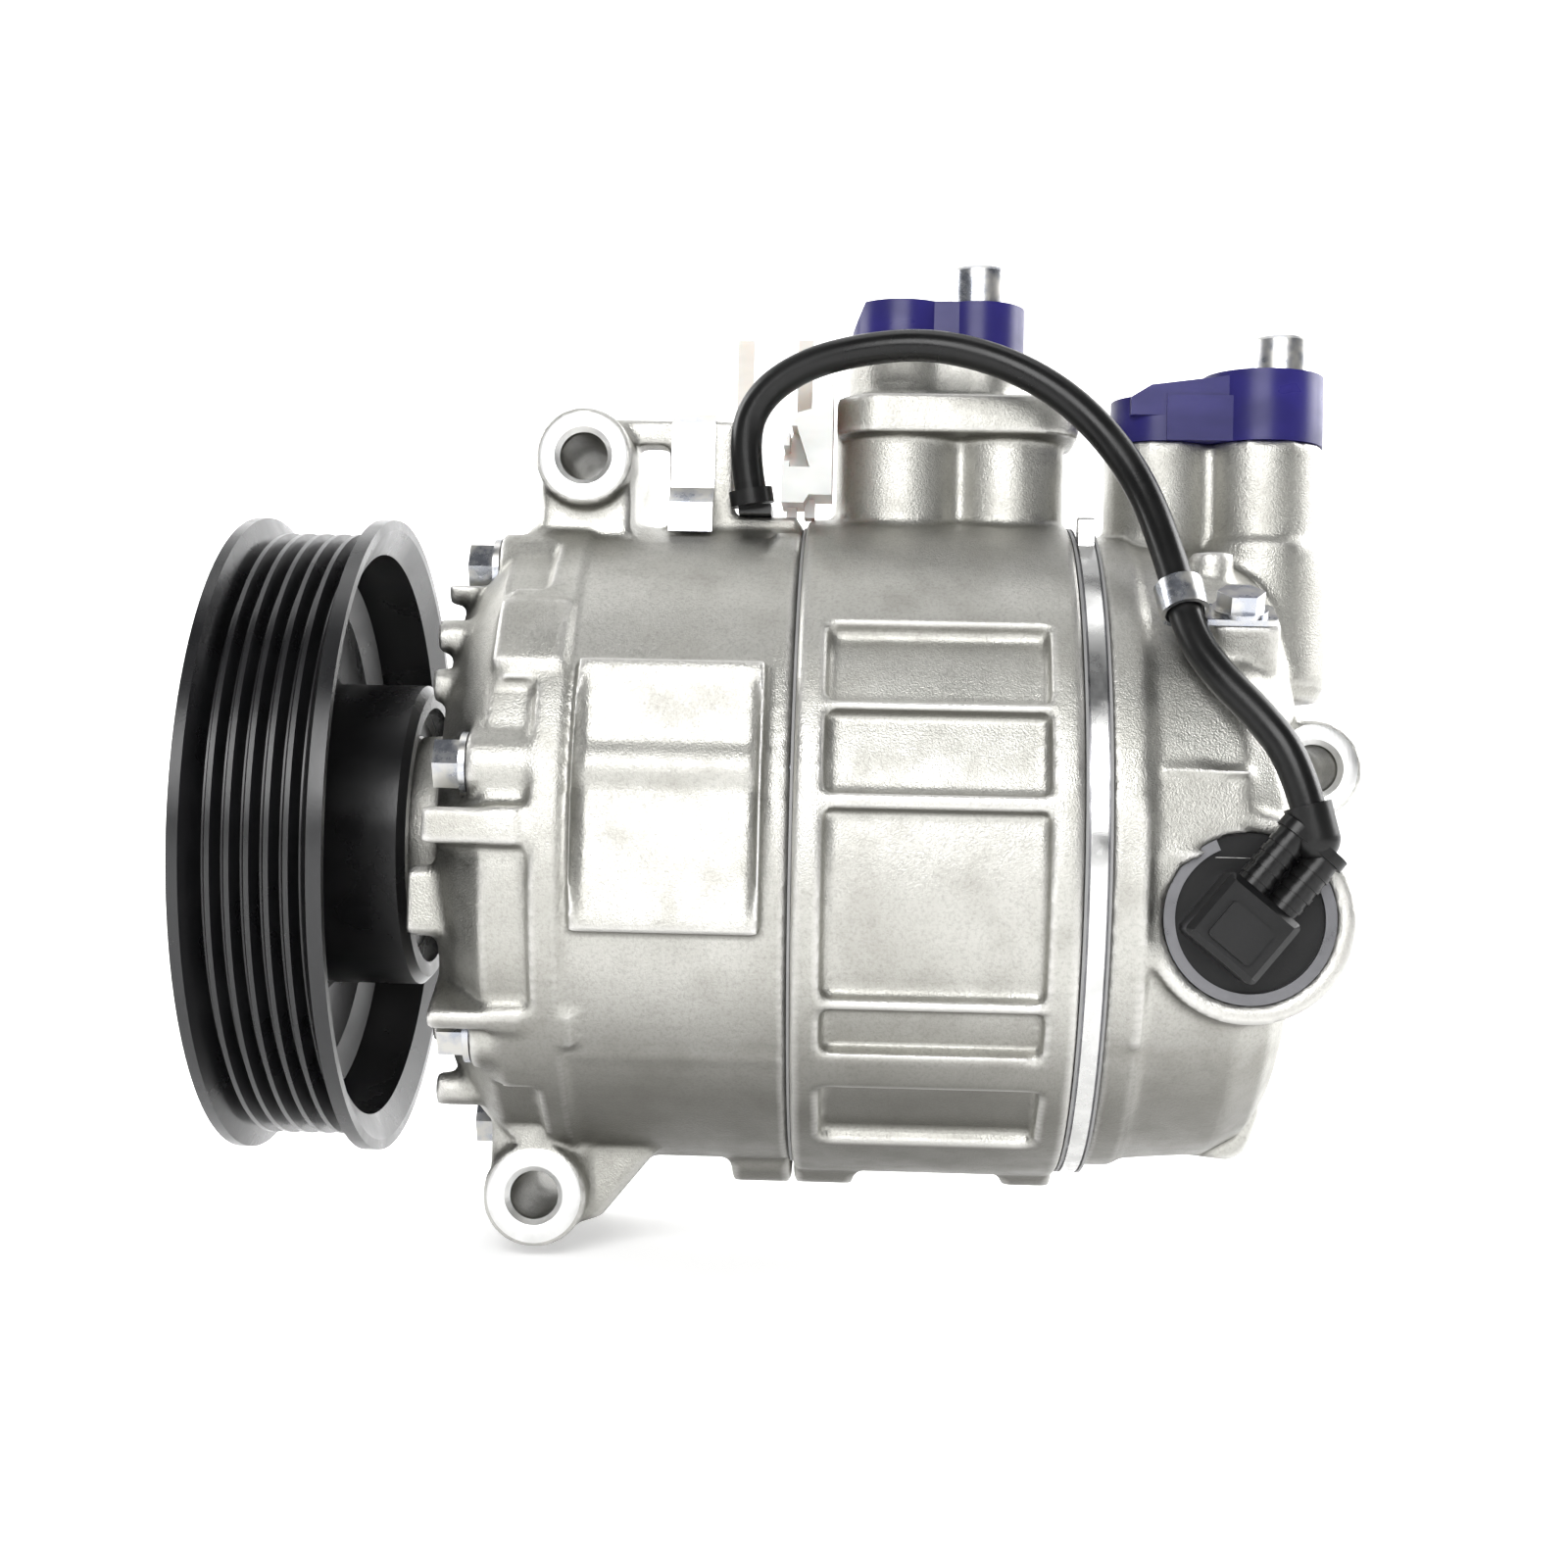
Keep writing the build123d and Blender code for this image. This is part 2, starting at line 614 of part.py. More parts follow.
with BuildPart() as front_housing:
    with BuildSketch(Plane.XZ):
        with BuildLine():
            Polyline(
                (nose_front, needle_cup_r),
                (nose_front, bearing_bore_r - 1),
                (nose_front + 1, bearing_bore_r),
                (bearing_back, bearing_bore_r),
                (bearing_back, 20.0),
                (front_face - 2, 20.5),
                (front_face, 24.0),
                (front_face, 34.0),
                (front_face + 2, 37.0),
                (front_face + 3, 50.0),
                (front_face + 7.5, 56.5),
                (collar_front, collar_r - 3.5),
                (collar_front + 3.5, collar_r),
                (collar_back - 1, collar_r),
                (collar_back, shell_r),
                (joint_x, shell_r),
                (joint_x, shell_r - shell_wall),
                (crankcase_front + 6, shell_r - shell_wall),
                (crankcase_front + 1, shell_r - shell_wall - 5),
                (crankcase_front, 46.0),
                (crankcase_front, needle_cup_r),
                close=True,
            )
        make_face()
    revolve(axis=Axis.X)

    # cast ribs and pockets on the front collar
    for low, high in ((-29.0, -1.5), (5.0, 26.5), (46, 62), (-62, -46)):
        sector(collar_front - 1, 11, collar_r - 2.2, collar_r + 3, low, high, mode=Mode.SUBTRACT)
    sector(collar_front + 1.5, 13, shell_r - 2, collar_r + 1.0, 28.6, 42.6)
    for low, high in ((-1.3, 4.6), (-33.0, -29.5)):
        sector(front_face + 3, 17, 50, collar_r + 0.5, low, high)
    sector(collar_back - 2, 3.4, shell_r - 2, collar_r, -36.0, -29.5)

    # short cast stubs on the front face
    stub_places = [around(radius, angle) for radius, angle in ((53, 45), (50, 34), (49, -47), (56, -60), (55, 60))]
    rods(front_face + 0.5, 8, 3.2, stub_places)
    with BuildSketch(on_axis(front_face - 2)):
        with Locations((-46, -12)):
            RectangleRounded(9, 13, 2)
    extrude(amount=8)

    # flat label pad on the near side of the shell
    sector(pad_front, pad_back - pad_front, shell_r - 2, pad_rim_r, pad_low, pad_high)
    with BuildSketch(radial_plane(pad_angle)):
        with BuildLine():
            Polyline(
                (pad_front + 0.8, pad_flat),
                (pad_back - 0.8, pad_flat),
                (pad_back - 0.8, pad_rim_r + 6),
                (pad_front + 0.8, pad_rim_r + 6),
                close=True,
            )
        make_face()
    extrude(amount=(pad_rim_r + 1) * sin(radians((pad_high - pad_low) / 2)), both=True, mode=Mode.SUBTRACT)

    # bosses that carry the through bolts inside the shell and at both its ends
    with BuildSketch(on_axis(bolt_seat_x)):
        with Locations(*place_bolts(bolt_pitch_r)):
            Circle(bolt_boss_r - 1.2)
    extrude(amount=14)
    with BuildSketch(on_axis(crankcase_front + 1)):
        with Locations(*place_bolts(bolt_pitch_r)):
            Circle(bolt_boss_r - 2)
    extrude(amount=joint_x - crankcase_front - 1)
    for angle, boss_r, boss_out, boss_length in joint_bosses:
        rods(joint_x - boss_length, boss_length, boss_r, [around(bolt_pitch_r + boss_out, angle)])

    # transverse lugs: web block, gusset and the two machined ends
    for x, z, radius in (top_lug, bottom_lug):
        with BuildSketch(Plane.XZ.offset(-lug_web_y)):
            with Locations((x, z - z * 0.14)):
                Rectangle(2 * radius - 1.4, abs(z) * 0.28)
            with Locations((x, z)):
                Circle(radius - 0.6)
        extrude(amount=2 * lug_web_y)
        cross_rod(lug_near, lug_far - lug_near, radius, x, z)
    with BuildSketch(Plane.XZ.offset(-lug_web_y + 2)):
        with BuildLine():
            Polyline(
                (bottom_lug[0], -58.5),
                (bottom_lug[0], bottom_lug[1] - 8.2),
                (bottom_lug[0] + 12, bottom_lug[1] - 5.0),
                (bottom_lug[0] + 22, -61.0),
                (bottom_lug[0] + 22, -58.5),
                close=True,
            )
        make_face()
    extrude(amount=2 * lug_web_y - 4)

    # cast post and bar that carry the harness connector, beside the top lug
    with BuildSketch(Plane.XZ.offset(-post_far)):
        with Locations(((post_front + post_back) / 2, (post_top + 58) / 2)):
            Rectangle(post_back - post_front, post_top - 58)
        with Locations(((top_lug[0] + post_front) / 2, post_top - 2.5)):
            Rectangle(post_front - top_lug[0], 5)
        with Locations(((post_back + joint_x) / 2 - 1, post_foot_top - 2)):
            Rectangle(joint_x - post_back, 4)
    extrude(amount=post_far - post_near)

    # everything inside: crankcase, bolt holes, lug bores and the wall's own bore
    ring(crankcase_front, 30, 0, shell_r - shell_wall - 6, mode=Mode.SUBTRACT)
    ring(nose_front, crankcase_front - nose_front + 1, 0, needle_cup_r, mode=Mode.SUBTRACT)
    rods(bolt_seat_x - 1, joint_x, bolt_hole_r, place_bolts(bolt_pitch_r), mode=Mode.SUBTRACT)
    with BuildSketch(on_axis(front_face)):
        with Locations(*place_bolts(bolt_pitch_r)):
            Circle(bolt_head_r + 1.2)
    extrude(amount=bolt_seat_x - front_face, mode=Mode.SUBTRACT)
    for x, z, radius in (top_lug, bottom_lug):
        cross_rod(lug_near - 1, lug_far - lug_near + 2, lug_bore_r, x, z, mode=Mode.SUBTRACT)
        for face_y, way in ((lug_near, 1), (lug_far, -1)):
            mouth_plane = Plane(origin=(x, face_y, z), x_dir=(1, 0, 0), z_dir=(0, way, 0))
            with BuildSketch(mouth_plane):
                Circle(lug_bore_r + lug_chamfer)
            extrude(amount=lug_chamfer, taper=45, mode=Mode.SUBTRACT)

    # groove of the pulley bearing's snap ring and of the seal's snap ring
    ring(bearing_front - 1.5, 1.5, bearing_bore_r - 0.8, bearing_bore_r + 1, mode=Mode.SUBTRACT)
    ring(7.8, 1.2, needle_cup_r - 1, needle_cup_r + 0.8, mode=Mode.SUBTRACT)
front_housing.part.label = "front_housing"
export_step(front_housing.part, "parts/front_housing.step")

with BuildPart() as thrust_bearing:
    ring(crankcase_front, lug_plate_front - crankcase_front - 0.05, shaft_r + 2, 24)
thrust_bearing.part.label = "thrust_bearing"
export_step(thrust_bearing.part, "parts/thrust_bearing.step")

# -------------------------------------------------------------------- front gasket
def stack_sheet(x, thick, outer, openings=(), opening_r=0.0, centre_r=0.0):
    """Adds one flat sheet of a joint, pierced for the bolts and for its openings."""
    ring(x, thick, centre_r, outer)
    rods(x, thick, bolt_hole_r, place_bolts(bolt_pitch_r), mode=Mode.SUBTRACT)
    if openings:
        rods(x, thick, opening_r, openings, mode=Mode.SUBTRACT)


with BuildPart() as front_gasket:
    ring(joint_x, gasket_thick, shell_r - shell_wall, shell_r + 0.3)
    rods(joint_x, gasket_thick, bolt_hole_r + 1.8, place_bolts(bolt_pitch_r))
    rods(joint_x, gasket_thick, bolt_hole_r, place_bolts(bolt_pitch_r), mode=Mode.SUBTRACT)
front_gasket.part.label = "front_gasket"
export_step(front_gasket.part, "parts/front_gasket.step")

# ------------------------------------------------------------------ cylinder block
tower_near, tower_far = tower_y - 15.0, tower_y + 15.0
tower_front, tower_back = 103.0, 151.0
tower_left_r, tower_right_r = 13.0, 11.5
tower_right_x = 137.0
flange_low, flange_high = 80.9, 88.6
bore_places = [around(cylinder_pitch_r, angle) for angle in cylinder_angles]
pockets = ((23.3, 37.8), (8.1, 21.8), (-25.2, 5.6), (-35.4, -27.2), (-58.5, -43.0))

with BuildPart() as cylinder_block:
    ring(block_front, block_back - block_front, 0, block_r)
    chamfer(cylinder_block.edges().filter_by(GeomType.CIRCLE), 0.8)
    for low, high in pockets:
        sector(pocket_front, pocket_back - pocket_front, block_r - pocket_depth, block_r + 2,
               low, high, mode=Mode.SUBTRACT)
    # the same pockets on the far side
    for low, high in pockets[1:]:
        sector(pocket_front, pocket_back - pocket_front, block_r - pocket_depth, block_r + 2,
               180 - high, 180 - low, mode=Mode.SUBTRACT)
    # bolt bosses at both ends, above and below
    for angle, boss_r, boss_out, boss_length in joint_bosses:
        rods(block_front, boss_length, boss_r, [around(bolt_pitch_r + boss_out, angle)])
        rods(block_back - 10, 10, boss_r - 0.5, [around(bolt_pitch_r + boss_out, angle)])
    # discharge tower
    post(40, flange_high - 41, tower_left_r, tower_front + tower_left_r, tower_y)
    post(40, flange_high - 41, tower_right_r, tower_right_x, tower_y)
    with BuildSketch(Plane.XY.offset(40)):
        with Locations(((tower_front + tower_left_r + tower_right_x) / 2, tower_y + 2)):
            Rectangle(tower_right_x - tower_front - tower_left_r, 19)
    extrude(amount=flange_high - 41)
    with BuildSketch(Plane.XY.offset(flange_low)):
        with Locations(((tower_front + tower_back) / 2, tower_y)):
            RectangleRounded(tower_back - tower_front, tower_far - tower_near, 9)
    extrude(amount=flange_high - flange_low)
    with BuildSketch(Plane.XY.offset(flange_high)):
        with Locations((discharge_port_x, tower_y)):
            Circle(10.5)
        with Locations((discharge_screw_x, tower_y)):
            Circle(9.2)
        with Locations(((discharge_port_x + discharge_screw_x) / 2, tower_y)):
            Rectangle(discharge_screw_x - discharge_port_x, 17)
    extrude(amount=discharge_top - flange_high)

    # cylinders, shaft bore, bolts and the port
    rods(block_front, block_back - block_front, cylinder_r, bore_places, mode=Mode.SUBTRACT)
    ring(block_front, shaft_back - block_front + 3, 0, needle_cup_r, mode=Mode.SUBTRACT)
    ring(block_front, 5, 0, 14, mode=Mode.SUBTRACT)
    rods(block_front, block_back - block_front, bolt_hole_r, place_bolts(bolt_pitch_r), mode=Mode.SUBTRACT)
    post(61, discharge_top - 60, discharge_port_r, discharge_port_x, tower_y, mode=Mode.SUBTRACT)
    post(discharge_top - thread_depth, thread_depth + 1, port_screw_r + running_gap, discharge_screw_x, tower_y,
         mode=Mode.SUBTRACT)
cylinder_block.part.label = "cylinder_block"
export_step(cylinder_block.part, "parts/cylinder_block.step")

# --------------------------------------------- valve plate stack behind the block
block_gasket_x = block_back
suction_reed_x = block_gasket_x + gasket_thick
valve_plate_x = suction_reed_x + reed_thick
discharge_reed_x = valve_plate_x + valve_plate_thick
head_gasket_x = discharge_reed_x + reed_thick
suction_port_places = [around(46.5, angle) for angle in cylinder_angles]
discharge_port_places = [around(32.5, angle) for angle in cylinder_angles]

with BuildPart() as block_gasket:
    stack_sheet(block_gasket_x, gasket_thick, stack_r, bore_places, cylinder_r, centre_r=10.0)
block_gasket.part.label = "block_gasket"
export_step(block_gasket.part, "parts/block_gasket.step")

with BuildPart() as suction_reeds:
    stack_sheet(suction_reed_x, reed_thick, stack_r - 0.6, discharge_port_places, 3.2, centre_r=10.0)
suction_reeds.part.label = "suction_reeds"
export_step(suction_reeds.part, "parts/suction_reeds.step")

with BuildPart() as valve_plate:
    stack_sheet(valve_plate_x, valve_plate_thick, stack_r, suction_port_places, 3.4)
    rods(valve_plate_x, valve_plate_thick, 2.6, discharge_port_places, mode=Mode.SUBTRACT)
    with BuildSketch(on_axis(valve_plate_x)):
        with Locations(around(stack_r + 0.5, 66.5)):
            RectangleRounded(5, 8, 1)
    extrude(amount=valve_plate_thick)
valve_plate.part.label = "valve_plate"
export_step(valve_plate.part, "parts/valve_plate.step")

with BuildPart() as discharge_reeds:
    stack_sheet(discharge_reed_x, reed_thick, stack_r - 0.6, suction_port_places, 4.2)
discharge_reeds.part.label = "discharge_reeds"
export_step(discharge_reeds.part, "parts/discharge_reeds.step")

with BuildPart() as head_gasket:
    stack_sheet(head_gasket_x, gasket_thick, stack_r, suction_port_places, 4.4, centre_r=36.0)
head_gasket.part.label = "head_gasket"
export_step(head_gasket.part, "parts/head_gasket.step")

# -------------------------------------------------------------------- rear housing
chamber_depth = 12.0
valve_step = valve_face + 13.0       # where the wide mouth of the valve bore ends
valve_floor = -14.0
suction_lobe_r = 11.0
screw_lobe_r = 12.0
screw_lobe_x = suction_screw_x - 3.5
clip_tilt = 25.0                     # lean of the clip's screw towards the near side
clip_screw_place = (177.6, -47.6, 42.8)
clip_screw_r = 2.5
clip_plane = Plane(
    origin=clip_screw_place,
    x_dir=(1, 0, 0),
    z_dir=(0, -sin(radians(clip_tilt)), cos(radians(clip_tilt))),
)

with BuildPart() as rear_housing:
    with BuildSketch(Plane.XZ):
        with BuildLine():
            Polyline(
                (rear_front, 0),
                (rear_front, rear_r),
                (rear_front + 6, rear_r),
                (rear_front + 8, rear_r - 1.4),
                (rear_front + 24, rear_r - 2.6),
                (rear_front + 31, rear_r - 6.5),
                (rear_end - 5, 51.5),
                (rear_end - 1.5, 40.0),
                (rear_end, 24.0),
                (rear_end, 0),
                close=True,
            )
        make_face()
    revolve(axis=Axis.X)
    # foot at the lower rear
    with BuildSketch(Plane.XZ.offset(-9)):
        with BuildLine():
            Polyline(
                (rear_front + 22, -50),
                (rear_front + 22, -60),
                (rear_front + 30, -61),
                (rear_end - 6, -59),
                (rear_end - 3, -50),
                close=True,
            )
        make_face()
    extrude(amount=18)
    # boss around the control valve
    with BuildSketch(Plane(origin=(valve_x, -30, valve_z), x_dir=(1, 0, 0), z_dir=(0, -1, 0))):
        Circle(valve_boss_r)
    extrude(amount=-valve_face - 30, taper=-0.5)
    # vertical rib beside the boss and the two parting beads
    sector(rear_front + 4.5, 2.2, rear_r - 6, rear_r + 0.4, -34, 8)
    for angle in (-0.5, 13.5):
        sector(rear_front + 7, 18, rear_r - 6, rear_r - 1.0, angle - 0.4, angle + 0.4)
    # suction tower
    post(30, suction_top - 30, suction_lobe_r, suction_port_x, tower_y + 2)
    post(30, suction_top - 30, screw_lobe_r, screw_lobe_x, tower_y)
    with BuildSketch(Plane.XY.offset(30)):
        with Locations(((suction_port_x + screw_lobe_x) / 2, tower_y + 2)):
            Rectangle(screw_lobe_x - suction_port_x, 16)
    extrude(amount=suction_top - 31)
    post(33, 28, screw_lobe_r + 1.2, screw_lobe_x, tower_y)
    # ledge for the clip's screw and a cast boss beside it
    with BuildSketch(clip_plane):
        with Locations((1.0, 1.0)):
            RectangleRounded(13, 11, 3)
    extrude(amount=-18)
    post(40, 17, 4.2, 175.3, -28)
    # rear mounting lug
    rear_lug_x, rear_lug_z, rear_lug_r = rear_lug
    with BuildSketch(Plane.XZ.offset(6)):
        with BuildLine():
            Polyline(
                (rear_lug_x - 14, rear_lug_z - rear_lug_r + 1),
                (rear_lug_x, rear_lug_z - rear_lug_r + 1),
                (rear_lug_x, rear_lug_z + rear_lug_r - 1),
                (rear_lug_x - 14, rear_lug_z + rear_lug_r + 4),
                close=True,
            )
        make_face()
    extrude(amount=26)
    cross_rod(rear_lug_near, rear_lug_length, rear_lug_r, rear_lug_x, rear_lug_z)

    # chambers, ports, valve bore and screw holes
    ring(rear_front, chamber_depth, 20, 37.5, mode=Mode.SUBTRACT)
    ring(rear_front, chamber_depth, 41, 51.5, mode=Mode.SUBTRACT)
    post(46, suction_top - 45, suction_port_r, suction_port_x, tower_y + 2, mode=Mode.SUBTRACT)
    with BuildSketch(on_axis(rear_front + chamber_depth - 1)):
        with Locations((tower_y + 2, 46.5)):
            Circle(4.5)
    extrude(amount=suction_port_x - rear_front - chamber_depth, mode=Mode.SUBTRACT)
    post(suction_top - thread_depth, thread_depth + 1, port_screw_r + running_gap, suction_screw_x, tower_y,
         mode=Mode.SUBTRACT)
    cross_rod(valve_face - 1, valve_step - valve_face + 1, valve_bore_r, valve_x, valve_z, mode=Mode.SUBTRACT)
    cross_rod(valve_step - 1, valve_floor - valve_step + 1, valve_body_r + running_gap, valve_x, valve_z,
              mode=Mode.SUBTRACT)
    cross_rod(-rear_r, rear_r + rear_lug_near, rear_lug_r + 0.6, rear_lug_x, rear_lug_z, mode=Mode.SUBTRACT)
    cross_rod(rear_lug_near - 1, rear_lug_length + 2, lug_bore_r, rear_lug_x, rear_lug_z, mode=Mode.SUBTRACT)
    for face_y, way in ((rear_lug_near, 1), (rear_lug_near + rear_lug_length, -1)):
        mouth_plane = Plane(origin=(rear_lug_x, face_y, rear_lug_z), x_dir=(1, 0, 0), z_dir=(0, way, 0))
        with BuildSketch(mouth_plane):
            Circle(lug_bore_r + lug_chamfer)
        extrude(amount=lug_chamfer, taper=45, mode=Mode.SUBTRACT)
    rods(rear_front, bolt_reach, bolt_r, place_bolts(bolt_pitch_r), mode=Mode.SUBTRACT)
    with BuildSketch(clip_plane):
        Circle(clip_screw_r)
    extrude(amount=-12, mode=Mode.SUBTRACT)
    ring(rear_end - 10, 12, 0, 6, mode=Mode.SUBTRACT)
rear_housing.part.label = "rear_housing"
export_step(rear_housing.part, "parts/rear_housing.step")

# -------------------------------------------------------------------- through bolts
with BuildPart() as through_bolts:
    rods(bolt_seat_x, rear_front + bolt_reach - bolt_seat_x, bolt_r, place_bolts(bolt_pitch_r))
    with BuildSketch(on_axis(bolt_seat_x - bolt_head)):
        with Locations(*place_bolts(bolt_pitch_r)):
            RegularPolygon(bolt_head_r, 6)
    extrude(amount=bolt_head)
    with BuildSketch(on_axis(bolt_seat_x - 1.2)):
        with Locations(*place_bolts(bolt_pitch_r)):
            Circle(bolt_head_r + 0.9)
    extrude(amount=1.2)
through_bolts.part.label = "through_bolts"
export_step(through_bolts.part, "parts/through_bolts.step")

# -------------------------------------------------------------------- control valve
valve_stroke = 0.8
plunger_r = 4.0
valve_rod_r = 1.6
coil_front = valve_face + 1.5
seat_y = valve_step + 18.0

with BuildPart() as control_valve_coil:
    cross_rod(coil_front, valve_step - coil_front, valve_bore_r - 0.02, valve_x, valve_z)
    cross_rod(coil_front + 2, valve_step - coil_front - 2, plunger_r + running_gap, valve_x, valve_z,
              mode=Mode.SUBTRACT)
control_valve_coil.part.label = "control_valve_coil"
export_step(control_valve_coil.part, "parts/control_valve_coil.step")

o_ring_stations = (valve_step + 4.0, valve_step + 13.0, valve_step + 23.0)
o_ring_width = 2.0
o_ring_depth = 1.5
with BuildPart() as control_valve_body:
    cross_rod(valve_step, valve_floor - valve_step - 1, valve_body_r, valve_x, valve_z)
    for station in o_ring_stations:
        ring_plane = Plane(origin=(valve_x, station, valve_z), x_dir=(1, 0, 0), z_dir=(0, 1, 0))
        with BuildSketch(ring_plane):
            Circle(valve_body_r)
            Circle(valve_body_r - o_ring_depth, mode=Mode.SUBTRACT)
        extrude(amount=o_ring_width, mode=Mode.SUBTRACT)
    cross_rod(valve_step, valve_floor - valve_step - 1, valve_rod_r + running_gap, valve_x, valve_z,
              mode=Mode.SUBTRACT)
    cross_rod(valve_step, 1.5, plunger_r + running_gap, valve_x, valve_z, mode=Mode.SUBTRACT)
    cross_rod(seat_y + 2, 7, 4.6, valve_x, valve_z, mode=Mode.SUBTRACT)
    for station in (valve_step + 8.5, valve_step + 19.5):
        with BuildSketch(Plane(origin=(valve_x, station, valve_z), z_dir=(0, 0, 1))):
            Circle(1.5)
        extrude(amount=valve_body_r + 1, both=True, mode=Mode.SUBTRACT)
control_valve_body.part.label = "control_valve_body"
export_step(control_valve_body.part, "parts/control_valve_body.step")

with BuildPart() as control_valve_plunger:
    cross_rod(coil_front + 2 + valve_stroke + 0.2, valve_step - coil_front - 2 - valve_stroke - 0.2, plunger_r,
              valve_x, valve_z)
    cross_rod(valve_step - 1, seat_y - valve_step + 4.5, valve_rod_r, valve_x, valve_z)
    cross_rod(seat_y + 3.0, 2.0, 3.2, valve_x, valve_z)
control_valve_plunger.part.label = "control_valve_plunger"
export_step(control_valve_plunger.part, "parts/control_valve_plunger.step")

with BuildPart() as valve_o_rings:
    for station in o_ring_stations:
        ring_plane = Plane(origin=(valve_x, station + 0.1, valve_z), x_dir=(1, 0, 0), z_dir=(0, 1, 0))
        with BuildSketch(ring_plane):
            Circle(valve_body_r + running_gap)
            Circle(valve_body_r - o_ring_depth, mode=Mode.SUBTRACT)
        extrude(amount=o_ring_width - 0.2)
valve_o_rings.part.label = "valve_o_rings"
export_step(valve_o_rings.part, "parts/valve_o_rings.step")

with BuildPart() as valve_snap_ring:
    with BuildSketch(Plane(origin=(valve_x, valve_face + 0.2, valve_z), x_dir=(1, 0, 0), z_dir=(0, 1, 0))):
        with BuildLine():
            draw_sector(valve_bore_r - 2.0, valve_bore_r, -90 + snap_gap, 270 - snap_gap)
        make_face()
    extrude(amount=coil_front - valve_face - 0.2)
valve_snap_ring.part.label = "valve_snap_ring"
export_step(valve_snap_ring.part, "parts/valve_snap_ring.step")

# plug on the valve, turned so that its lead leaves upwards and to the rear
plug_turn = 51.0
plug_front = valve_face - 8.5
plug_x, plug_z = 176.0, -13.0
plug_way = (cos(radians(plug_turn)), 0, sin(radians(plug_turn)))
plug_plane = Plane(origin=(plug_x, coil_front, plug_z), x_dir=plug_way, z_dir=(0, -1, 0))
plug_long, plug_wide = 13.6, 15.4
with BuildPart() as valve_plug:
    with BuildSketch(plug_plane):
        RectangleRounded(plug_long, plug_wide, 1.2)
    extrude(amount=coil_front - plug_front)
    chamfer(valve_plug.edges().group_by(Axis.Y)[0], 1.2)
    with BuildSketch(plug_plane.offset(coil_front - plug_front)):
        with Locations((-1.0, 0)):
            RectangleRounded(7.5, 9.0, 0.8)
    extrude(amount=1.4)
valve_plug.part.label = "valve_plug"
export_step(valve_plug.part, "parts/valve_plug.step")

# two ribbed sleeves between the plug and the lead, and the collar that joins them
sleeve_y = coil_front - 6.2
sleeve_start = plug_long / 2
sleeve_length = 11.5
sleeve_r = 2.9
sleeve_spacing = 6.6
lead_collar_r = 4.2
lead_collar_length = 6.0
lead_in = (-0.25, 0.06, 0.96)        # way the lead leaves the collar
with BuildPart() as plug_sleeves:
    sleeve_plane = Plane(
        origin=plug_plane.from_local_coords((sleeve_start, 0, coil_front - sleeve_y)),
        x_dir=(0, 1, 0),
        z_dir=plug_plane.x_dir,
    )
    with BuildSketch(sleeve_plane):
        with Locations((0, -sleeve_spacing / 2), (0, sleeve_spacing / 2)):
            Circle(sleeve_r)
    extrude(amount=sleeve_length)
    for station in range(4):
        with BuildSketch(sleeve_plane.offset(1.2 + station * 2.4)):
            with Locations((0, -sleeve_spacing / 2), (0, sleeve_spacing / 2)):
                Circle(sleeve_r + 0.25)
        extrude(amount=1.2)
    with BuildSketch(sleeve_plane.offset(sleeve_length)):
        SlotCenterToCenter(sleeve_spacing, 2 * sleeve_r + 1.4, rotation=90)
    extrude(amount=2.0)
    knuckle = sleeve_plane.offset(sleeve_length + 2.0).origin
    collar_plane = Plane(origin=knuckle, z_dir=lead_in)
    with Locations(collar_plane.origin):
        Sphere(lead_collar_r)
    with BuildSketch(collar_plane):
        Circle(lead_collar_r)
    extrude(amount=lead_collar_length)
plug_sleeves.part.label = "plug_sleeves"
export_step(plug_sleeves.part, "parts/plug_sleeves.step")
lead_end = collar_plane.offset(lead_collar_length).origin

# ------------------------------------------------------------- shipping caps, screws
def port_cap(low, thick, port_x, port_lobe_r, screw_x, screw_lobe_r, y):
    """Flat cap over a port: one lobe over the port, one under the screw's head."""
    with BuildSketch(Plane.XY.offset(low)) as outline:
        with Locations((port_x, y)):
            Circle(port_lobe_r)
        with Locations((screw_x, y)):
            Circle(screw_lobe_r)
        with Locations(((port_x + screw_x) / 2, y)):
            Rectangle(screw_x - port_x, 2 * screw_lobe_r - 2)
    extrude(outline.sketch, amount=thick)


def slanted_end(low, high, from_x, to_x, y, reach):
    """Cuts the upper corner of a cap at its port end along a slope."""
    with BuildSketch(Plane.XZ.offset(-y - reach)) as slope:
        with BuildLine():
            Polyline((from_x, low), (from_x, high), (to_x, high), close=True)
        make_face()
    extrude(slope.sketch, amount=2 * reach, mode=Mode.SUBTRACT)


plug_depth = 8.0
plug_gap = 0.15
discharge_cap_top = discharge_top + cap_thick
with BuildPart() as discharge_cap:
    port_cap(discharge_top, cap_thick, discharge_port_x, 10.2, discharge_screw_x, 9.2, tower_y)
    slanted_end(discharge_top + 3.5, discharge_cap_top, discharge_port_x - 10.4, discharge_port_x - 7.6,
                tower_y, 12)
    post(discharge_top - plug_depth, plug_depth, discharge_port_r - plug_gap, discharge_port_x, tower_y)
    post(discharge_top - plug_depth, plug_depth, discharge_port_r - 2, discharge_port_x, tower_y,
         mode=Mode.SUBTRACT)
    post(discharge_top, cap_thick, port_screw_r + 0.5, discharge_screw_x, tower_y, mode=Mode.SUBTRACT)
discharge_cap.part.label = "discharge_cap"
export_step(discharge_cap.part, "parts/discharge_cap.step")

